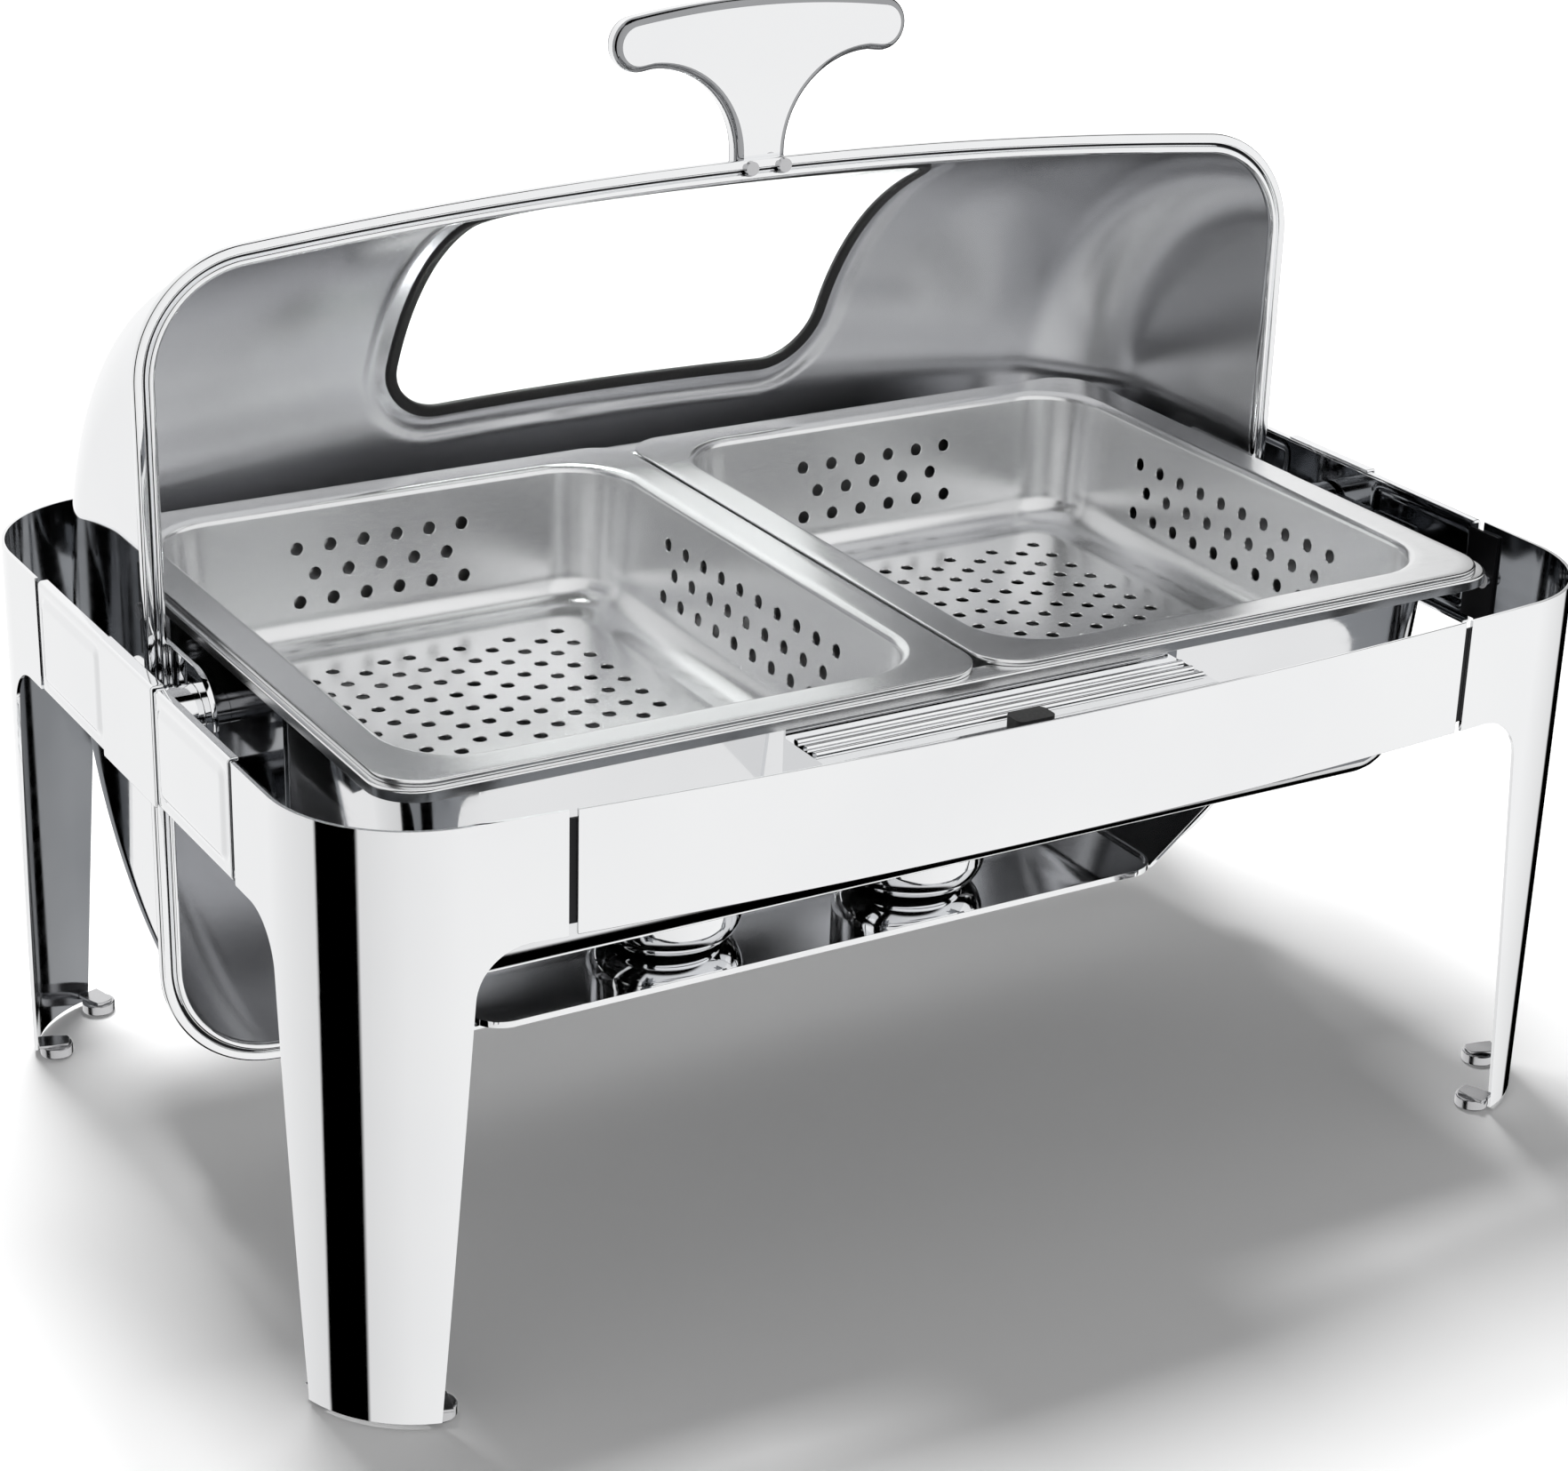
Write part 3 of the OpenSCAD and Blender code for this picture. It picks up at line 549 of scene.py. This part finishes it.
def make_lid_shell():
    outline = lid_outline()
    bands = 230
    rows = []
    for j in range(bands + 1):
        row = []
        for x, r in outline:
            top = acos(RIM_Y / r)
            a = lerp(-top, top, j / bands)
            d = window_offset(x, r, a)
            rise = 1.3 * smooth(4.0, 7.0, d) * (1 - smooth(11.0, 14.5, d))
            row.append((on_lid(x, r + rise, a), d))
        rows.append(row)
    points = [[p for p, _ in row] for row in rows]
    verts, quads = grid(points)
    offsets = [d for row in rows for _, d in row]
    faces = [f for f in quads if sum(offsets[i] for i in f) / 4 > 0]
    ends = []
    for column in (0, -1):
        arc_points = [row[column] for row in points]
        ends.append(grid([[(p[0], lerp(p[1], RIM_Y, t), p[2]) for p in arc_points] for t in steps(0, 1, 24)]))
    obj = piece("lid_barrel", *join((verts, faces), *ends), "lid", [MIRROR, DOME], "mirror_steel",
                ["lid_shell", "left_lid_end", "right_lid_end"], sharp=50)
    outward_from_axis(obj)
    thicken(obj, LID_T, 1)


def outward_from_axis(obj):
    """Turns the lid sheet's normals away from the roll axis."""
    mesh = obj.data
    total = sum(p.area * (p.normal.y * p.center.y + p.normal.z * (p.center.z - AXIS_Z * MM))
                for p in mesh.polygons)
    if total < 0:
        mesh.flip_normals()


def rim_loop():
    """Points round the lid's mouth in the rim plane: (x, z, nx, nz), z measured from the roll axis."""
    top = [(x, sqrt(r * r - RIM_Y ** 2)) for x, r in lid_outline()]
    bottom = [(x, -z) for x, z in reversed(top)]
    side = top[-1][1]
    right = [(LID_HALF, z) for z in steps(side, -side, 30)][1:-1]
    left = [(-LID_HALF, z) for z in steps(-side, side, 30)][1:-1]
    points = top + right + bottom + left
    loop = []
    for i, (x, z) in enumerate(points):
        px, pz = points[i - 1]
        qx, qz = points[(i + 1) % len(points)]
        tx, tz = qx - px, qz - pz
        n = hypot(tx, tz)
        loop.append((x, z, -tz / n, tx / n))
    return loop


def make_lid_rim():
    """Rolled rim: a thin bright roll inside, a groove, and a bright band that folds back. The groove's faces
    get near-black steel as painted shade.
    """
    y = RIM_Y
    profile = arc(0.0, y - 0.2, 1.5, 180, 360, 8)
    profile += [(1.9, y + 1.2), (2.4, y + 1.5), (2.9, y + 1.2)]
    profile += arc(4.0, y + 0.4, 1.0, 180, 270, 4)
    profile += arc(5.8, y + 0.8, 1.4, 270, 360, 6)
    profile += arc(5.8, y + 2.8, 1.4, 0, 90, 6)
    profile += [(2.0, y + 4.2), (0.2, y + 4.0), (-1.5, y + 2.0)]
    loop = rim_loop()
    rows = [[(x + n * nx, depth, AXIS_Z + z + n * nz) for n, depth in profile] for x, z, nx, nz in loop]
    obj = piece("lid_rim_roll", *grid(rows, close_rows=True, close_cols=True), "lid", [MIRROR, SEAM_SHADE],
                "mirror_steel", ["lid_rim"], sharp=55)
    groove = profile.index((2.4, y + 1.5))
    # Faces in the groove take the near-black steel: painted shade.
    for face in obj.data.polygons:
        if all(v % len(profile) in (groove - 1, groove, groove + 1) for v in face.vertices):
            face.material_index = 1


def window_frame(x, c, lift=0.0):
    """A point over the window: x along the lid, c across it, lift out of the sheet's outer face."""
    r = LID_R - BARREL_R + sqrt(BARREL_R ** 2 - x * x)
    a = WIN_MID + asin(c / r)
    return on_lid(x, r + lift, a)


def make_window():
    loop = rounded_loop(WIN_HALF, WIN_CHORD, WIN_R, 14, 24)
    mid = -LID_T / 2
    section = []
    for n, lift in rounded_section(2.6, 2.6):
        section.append((n, mid + lift))
    rows = [[window_frame(x + n * nx, c + n * nc, lift) for n, lift in section] for x, c, nx, nc in loop]
    piece("window_gasket_ring", *grid(rows, close_rows=True, close_cols=True), "lid", RUBBER, "rubber",
          ["window_gasket"], sharp=60)
    rings = []
    for lift in (mid + 1.5, mid - 1.5):
        for k in steps(0.0, 1.0, 14):
            rings.append([window_frame((x - nx) * k, (c - nc) * k, lift) for x, c, nx, nc in loop])
    count = len(rings) // 2
    outer, inner = rings[:count], rings[count:]
    mesh = join(grid(outer, close_cols=True), grid(inner, close_cols=True),
                grid([outer[-1], inner[-1]], close_cols=True))
    piece("window_pane", *mesh, "lid", GLASS, "glass", ["window_glass"], sharp=60)


def rounded_section(half_w, half_h, r=1.4):
    """A small rounded rectangle as (across, up) points, anticlockwise."""
    return [(x, y) for x, y, _, _ in rounded_loop(half_w, half_h, r, 4, 2)]


def handle_outline():
    """Anchor outline as (x, z): arched crossbar with round ends, flaring into a stem."""
    lo, hi = mm_box("lid_handle")
    bar, arch, stem = 23, 417, 12
    half = hi.x - bar / 2
    centre = hi.z - arch
    end_a = asin(half / (arch - bar / 2))
    flare = 40
    flare_x = stem + flare
    flare_z = centre + sqrt((arch - bar) ** 2 - flare_x ** 2) - flare
    end = (sin(end_a) * (arch - bar / 2), centre + cos(end_a) * (arch - bar / 2))
    tilt = end_a * 180 / pi
    right = [(arch * sin(t), centre + arch * cos(t)) for t in steps(0, end_a, 24)]
    right += arc(*end, bar / 2, 90 - tilt, -90 - tilt, 18)[1:]
    flare_a = asin(flare_x / (arch - bar))
    right += [((arch - bar) * sin(t), centre + (arch - bar) * cos(t)) for t in steps(end_a, flare_a, 6)][1:]
    right += arc(flare_x, flare_z, flare, 90, 180, 24)
    right += [(stem, lerp(flare_z, lo.z, 0.5)), (stem, lo.z)]
    left = [(-x, z) for x, z in reversed(right)]
    return right + left[:-1]


def make_handle():
    lo, hi = mm_box("lid_handle")
    outline = handle_outline()
    count = len(outline)
    front = [(x, lo.y, z) for x, z in outline]
    back = [(x, hi.y, z) for x, z in outline]
    faces = [(i, (i + 1) % count, count + (i + 1) % count, count + i) for i in range(count)]
    faces += [tuple(range(count)), tuple(range(2 * count - 1, count - 1, -1))]
    obj = piece("lid_handle_anchor", front + back, faces, "lid", [MIRROR, EDGE_SHADE],
                "mirror_steel", ["lid_handle"], sharp=60)
    soften(obj, 3.2, 5, 60)
    # The bevel's faces take the darker steel: a painted dark reflection along the handle's edge.
    obj.modifiers["edge"].material = 1


# ---- pans ----

def pan_rows(half_x, half_y, corner, profile, per_corner=12, per_side=10):
    """Rings of a pan. profile is (inset, z, radius change): how each ring lies inside the flange's edge."""
    rows = []
    for inset, z, r in profile:
        loop = rounded_loop(half_x - inset, half_y - inset, r, per_corner, per_side)
        rows.append([(x, y, z) for x, y, _, _ in loop])
    return rows


def pan_profile(flange, corner, top, depth, lean, edge_r=20, fillet=14, lip=2.2):
    """(inset, z, corner radius) from the flange's turned-down edge to the floor."""
    rows = [(0.0, top - lip, edge_r), (0.0, top - 0.9, edge_r), (0.25, top - 0.3, edge_r), (0.9, top, edge_r)]
    rows += [(flange * k, top, lerp(edge_r, corner, k)) for k in (0.3, 0.6, 0.85)]
    roll = 4.0
    for x, z in arc(flange, top - roll, roll, 90, 5, 6):
        rows.append((x, z, corner - (x - flange)))
    wall_top = top - roll
    floor = top - depth
    wall_low = floor + fillet
    start = rows[-1][0]
    for t in steps(0, 1, 8)[1:]:
        z = lerp(wall_top, wall_low, t)
        inset = start + (wall_top - z) * lean
        rows.append((inset, z, corner - (inset - flange)))
    inset = rows[-1][0]
    for x, z in arc(inset + fillet, wall_low, fillet, 180, 270, 8)[1:]:
        rows.append((x, z, max(corner - (x - flange), 6)))
    return rows


def floor_rings(rows, half_x, half_y, step_in=5.0, rise=1.2):
    """Adds the pressed step round the floor and the inset of its middle ring."""
    inset, z, r = rows[-1]
    rows += [(inset + step_in, z, max(r - 3, 6)), (inset + step_in + 2.2, z + rise, max(r - 4, 6)),
             (inset + step_in + 8, z + rise, max(r - 6, 6))]
    return rows


def pan_mesh(half_x, half_y, rows):
    rings = pan_rows(half_x, half_y, 0, rows)
    verts, faces = grid(rings, close_cols=True)
    last = len(verts) - len(rings[0])
    faces.append(tuple(range(last, len(verts))))
    return verts, faces


def hole_cutters(spots, depth=3.0, r=3.0):
    """Cutters through a sheet with a small countersink: each spot is (point, axis out of the sheet's face)."""
    parts = []
    for point, axis in spots:
        turn = Vector((0, 0, 1)).rotation_difference(axis).to_matrix()
        profile = [(0.001, -depth), (r, -depth), (r, -0.3), (r + 0.35, 0.05), (r + 0.35, 2.5), (0.001, 2.5)]
        verts, faces = lathe(profile, (0, 0, 0), 20)
        parts.append(([tuple(turn @ Vector(v) + Vector(point)) for v in verts], faces))
    return join(*parts)


def staggered(n, rows, pitch_x, pitch_y):
    """Hole centres in rows of n and n - 1, centred on the origin."""
    spots = []
    for j in range(rows):
        m = n - j % 2
        spots += [((i - (m - 1) / 2) * pitch_x, (j - (rows - 1) / 2) * pitch_y) for i in range(m)]
    return spots


def floor_holes(rows, n):
    """Hole centres in rows across the floor, staggered in two groups that meet in line."""
    spots = []
    for i in range(rows):
        short = (i if i < 5 else i - 5) % 2
        spots += [((i - (rows - 1) / 2) * ROW, (j - (n - 1 - short) / 2) * PITCH) for j in range(n - short)]
    return spots


def drill(obj, cutters):
    mesh = bpy.data.meshes.new("cutters")
    mesh.from_pydata([tuple(c * MM for c in v) for v in cutters[0]], [], cutters[1])
    bm = bmesh.new()
    bm.from_mesh(mesh)
    bmesh.ops.remove_doubles(bm, verts=bm.verts, dist=1e-5)
    bmesh.ops.recalc_face_normals(bm, faces=bm.faces)
    bm.to_mesh(mesh)
    bm.free()
    tool = bpy.data.objects.new("cutters", mesh)
    bpy.context.scene.collection.objects.link(tool)
    mod = obj.modifiers.new("holes", "BOOLEAN")
    mod.operation = "DIFFERENCE"
    mod.object = tool
    mod.solver = "EXACT"
    bake(obj)
    bpy.data.objects.remove(tool)


def bake(obj):
    """Applies every modifier so far."""
    deps = bpy.context.evaluated_depsgraph_get()
    baked = bpy.data.meshes.new_from_object(obj.evaluated_get(deps), preserve_all_data_layers=True,
                                            depsgraph=deps)
    obj.modifiers.clear()
    old = obj.data
    obj.data = baked
    bpy.data.meshes.remove(old)
    baked.polygons.foreach_set("use_smooth", [True] * len(baked.polygons))
    baked.set_sharp_from_angle(angle=radians(32))


def make_food_pans():
    flange, corner, depth, lean = 14, 35, 65, 0.09
    half_x, half_y = (FOOD_HI.x - FOOD_LO.x) / 2, (FOOD_HI.y - FOOD_LO.y) / 2
    top = FOOD_HI.z
    rows = floor_rings(pan_profile(flange, corner, top, depth - 1, lean), half_x, half_y)
    floor = rows[-1][1]
    verts, faces = pan_mesh(half_x, half_y, rows)
    spots = [((x, y, floor), Vector((0, 0, 1))) for x, y in floor_holes(12, 13)]
    mid = top - depth / 2
    for sign in (-1, 1):
        wall_y = lambda z: half_y - flange - 4 - (top - 4 - z) * lean
        spots += [((x, sign * wall_y(mid + z), mid + z), Vector((0, -sign, lean)).normalized())
                  for x, z in staggered(6, 3, PITCH, ROW)]
        wall_x = lambda z: half_x - flange - 4 - (top - 4 - z) * lean
        spots += [((sign * wall_x(mid + z), y, mid + z), Vector((-sign, 0, lean)).normalized())
                  for y, z in staggered(10, 3, PITCH, ROW)]
    cutters = hole_cutters(spots)
    for side, sign in (("left", -1), ("right", 1)):
        cx = sign * (FOOD_LO.x + FOOD_HI.x) / 2
        obj = piece(f"food_pan_{side}_pressing", [(x + cx, y, z) for x, y, z in verts], faces,
                    f"food_pan_{side}", SATIN, "satin_steel", [f"food_pan_{side}"], sharp=50)
        upward(obj)
        thicken(obj, 1.0)
        drill(obj, ([(x + cx, y, z) for x, y, z in cutters[0]], cutters[1]))
        weighted = obj.modifiers.new("normals", "WEIGHTED_NORMAL")
        weighted.keep_sharp = True


def upward(obj):
    """Turns an open pan's normals up and inwards."""
    mesh = obj.data
    if sum(p.area * p.normal.z for p in mesh.polygons) < 0:
        mesh.flip_normals()


def make_water_pan():
    half_x, half_y = WATER_HI.x, WATER_HI.y
    depth = WATER_HI.z - WATER_LO.z
    rows = pan_profile(11, 38, WATER_HI.z, depth - 1, 0.09, fillet=18, lip=4.6)
    verts, faces = pan_mesh(half_x, half_y, floor_rings(rows, half_x, half_y))
    obj = piece("water_pan_pressing", verts, faces, "stand", [SATIN, WATER_OUT], "satin_steel", ["water_pan"],
                sharp=50)
    upward(obj)
    thicken(obj, 1.0, 1)
    soften(obj, 0.2, 2, 50)


# ---- burners ----

def make_cups():
    lo, hi = mm_box("left_fuel_cup")
    r, h, edge = (hi.y - lo.y) / 2, hi.z - lo.z, 15
    outer = [(0.01, 0)] + arc(r - edge, edge, edge, 270, 360, 12) + [(r, h - 4)]
    rim = arc(r - 2, h - 2, 2, 0, 90, 5) + [(22, h), (20.5, h + 0.2)] + arc(20.5, h - 0.5, 0.5, 90, 270, 4)
    inner = [(r - 3, h - 2.2), (r - CUP_T, h - 5), (r - CUP_T, edge)]
    inner += arc(r - edge, edge, edge - CUP_T, 0, -90, 8) + [(0.01, CUP_T)]
    for side in ("left", "right"):
        lo, hi = mm_box(f"{side}_fuel_cup")
        spinning = lathe(outer + rim + inner, ((lo.x + hi.x) / 2, (lo.y + hi.y) / 2, lo.z), 72)
        piece(f"{side}_fuel_cup_spinning", *spinning, "stand", MIRROR, "mirror_steel", [f"{side}_fuel_cup"],
              sharp=50)
        lo, hi = mm_box(f"{side}_cover_knob")
        knob = [(0.01, 0), (3.6, 0), (3.4, 2.4)] + arc(5.4, 4.4, 1.6, 270, 360, 5)
        knob += arc(4.6, 5.0, 2.0, 20, 90, 5) + [(0.01, 7.2)]
        turned = lathe(knob, ((lo.x + hi.x) / 2, (lo.y + hi.y) / 2, lo.z), 40)
        piece(f"{side}_cover_knob_turned", *turned, f"{side}_fuel_cover", KNOB, "knob_plastic",
              [f"{side}_cover_knob"], sharp=50)


# ---- CAD nodes that stay ----

def dress_cad_nodes():
    """Softens the edges of the CAD nodes that stay and gives them their materials; the pivot brackets get dark
    steel as painted shade.
    """
    # Rubber and screw steel are real finishes; the pivot brackets' dark steel is painted shade.
    finish_and_shade = {"lid_bumper": RUBBER, "left_pivot_bracket": INNER_SHADE, "right_pivot_bracket": INNER_SHADE}
    for name in ("frame_screws", "rest_screws", "hub_rivets", "handle_screws",
                 "left_cover_pin", "right_cover_pin", "left_pivot_pin", "right_pivot_pin"):
        finish_and_shade[name] = SCREW
    for name, obj in frame["nodes"].items():
        obj.data.materials.clear()
        obj.data.materials.append(finish_and_shade.get(name, MIRROR))
        weld = obj.modifiers.new("weld", "WELD")
        weld.merge_threshold = 1e-6
        soften(obj, 0.35, 2, 50)


# ---- studio ----

def stage_plane(name, size, height, mat):
    """A level square that belongs to the studio, not to the object."""
    bpy.ops.mesh.primitive_plane_add(size=1, location=(0, 0, height))
    obj = bpy.context.object
    obj.name = name
    obj.scale = (size, size, 1)
    obj.data.materials.append(mat)
    return obj


def area_light(name, location, target, size, power):
    data = bpy.data.lights.new(name, "AREA")
    data.shape = "RECTANGLE"
    data.size, data.size_y = size
    data.energy = power
    obj = bpy.data.objects.new(name, data)
    obj.location = location
    obj.rotation_mode = "QUATERNION"
    obj.rotation_quaternion = (Vector(target) - Vector(location)).to_track_quat("-Z", "Y")
    bpy.context.scene.collection.objects.link(obj)
    return obj


# The tent as reflections see it: (azimuth in degrees, brightness), with black flags on both sides.
TENT = [(-180, 0.0), (-157, 0.0), (-155, 0.74), (-120, 0.84), (-78, 0.90), (-30, 0.93), (12, 0.76),
        (15, 0.0), (44, 0.0), (46, 0.96), (88, 0.98), (112, 0.90), (168, 0.74), (170, 0.0), (180, 0.0)]


def fade(tree, source, low, high):
    """0 where a value is below `low`, 1 above `high`."""
    node = tree.nodes.new("ShaderNodeMapRange")
    node.interpolation_type = "SMOOTHSTEP"
    node.inputs["From Min"].default_value = low
    node.inputs["From Max"].default_value = high
    tree.links.new(source, node.inputs["Value"])
    return node.outputs["Result"]


def calculate(tree, operation, *inputs):
    node = tree.nodes.new("ShaderNodeMath")
    node.operation = operation
    for socket, value in zip(node.inputs, inputs):
        if isinstance(value, (int, float)):
            socket.default_value = value
        else:
            tree.links.new(value, socket)
    return node.outputs["Value"]


def make_world():
    """White tent round the object. Reflections also see its black flags and the gap overhead."""
    world = bpy.data.worlds.new("studio")
    bpy.context.scene.world = world
    world.use_nodes = True
    tree = world.node_tree
    background = tree.nodes["Background"]
    background.inputs["Color"].default_value = (1, 1, 1, 1)
    coord = tree.nodes.new("ShaderNodeTexCoord")
    split = tree.nodes.new("ShaderNodeSeparateXYZ")
    tree.links.new(coord.outputs["Generated"], split.inputs["Vector"])
    turn = calculate(tree, "ARCTAN2", split.outputs["Y"], split.outputs["X"])
    place = calculate(tree, "MULTIPLY_ADD", turn, 1 / (2 * pi), 0.5)
    tent = tree.nodes.new("ShaderNodeValToRGB")
    stops = tent.color_ramp.elements
    for degrees, level in TENT[1:-1]:
        stops.new((degrees + 180) / 360)
    for stop, (degrees, level) in zip(stops, TENT):
        stop.color = (level, level, level, 1)
    tree.links.new(place, tent.inputs["Fac"])
    over = fade(tree, split.outputs["Z"], 0.93, 0.90)
    under = fade(tree, split.outputs["Z"], -0.86, -0.78)
    level = calculate(tree, "MULTIPLY", calculate(tree, "MULTIPLY", tent.outputs["Color"], over), under)
    path = tree.nodes.new("ShaderNodeLightPath")
    mirrored = calculate(tree, "MULTIPLY", level, path.outputs["Is Glossy Ray"])
    direct = calculate(tree, "SUBTRACT", 1.0, path.outputs["Is Glossy Ray"])
    dim = calculate(tree, "MULTIPLY_ADD", path.outputs["Is Diffuse Ray"], -0.62, 1.0)
    plain = calculate(tree, "MULTIPLY", direct, dim)
    tree.links.new(calculate(tree, "ADD", mirrored, plain), background.inputs["Strength"])


def make_studio():
    make_world()
    floor, tree, bsdf = new_material("studio_floor")
    speck = noise(tree, 2.0, 2.0)
    pale = ramp(tree, speck.outputs["Fac"], (0.86, 0.86, 0.86), (0.88, 0.88, 0.88))
    tree.links.new(pale, bsdf.inputs["Base Color"])
    bsdf.inputs["Roughness"].default_value = 0.9
    bsdf.inputs["Specular IOR Level"].default_value = 0.1
    far = tree.nodes.new("ShaderNodeVectorMath")
    far.operation = "LENGTH"
    place = tree.nodes.new("ShaderNodeNewGeometry")
    tree.links.new(place.outputs["Position"], far.inputs[0])
    bsdf.inputs["Emission Color"].default_value = (1, 1, 1, 1)
    tree.links.new(fade(tree, far.outputs["Value"], 0.8, 2.2), bsdf.inputs["Emission Strength"])
    plane = stage_plane("floor", 14, -0.0005, floor)
    plane.visible_glossy = False
    key = area_light("key", (0.1, 1.15, 2.7), (0.0, 0.0, 0.0), (1.1, 1.1), 105)
    key.visible_glossy = False
    bpy.context.scene.view_settings.view_transform = "Standard"


def make_camera():
    """The camera looks down on the front left corner with a long lens."""
    data = bpy.data.cameras.new("camera")
    data.sensor_width = 36
    data.lens = 77.25
    data.clip_end = 50
    cam = bpy.data.objects.new("camera", data)
    bpy.context.scene.collection.objects.link(cam)
    yaw, pitch, roll = radians(31.26), radians(23.01), radians(1.77)
    forward = Vector((sin(yaw) * cos(pitch), cos(yaw) * cos(pitch), -sin(pitch)))
    level = Vector((cos(yaw), -sin(yaw), 0))
    rise = level.cross(forward)
    right = cos(roll) * level + sin(roll) * rise
    up = cos(roll) * rise - sin(roll) * level
    basis = Matrix((right, up, -forward)).transposed()
    cam.matrix_world = Matrix.Translation(Vector((-0.71628, -1.17944, 0.74766))) @ basis.to_4x4()
    bpy.context.scene.camera = cam


make_camera()
make_studio()
dress_cad_nodes()
make_legs()
make_long_rails()
make_tongues()
make_side_rails()
make_pivot_covers()
make_feet()
make_lid_shell()
make_lid_rim()
make_window()
make_handle()
make_water_pan()
make_food_pans()
make_cups()
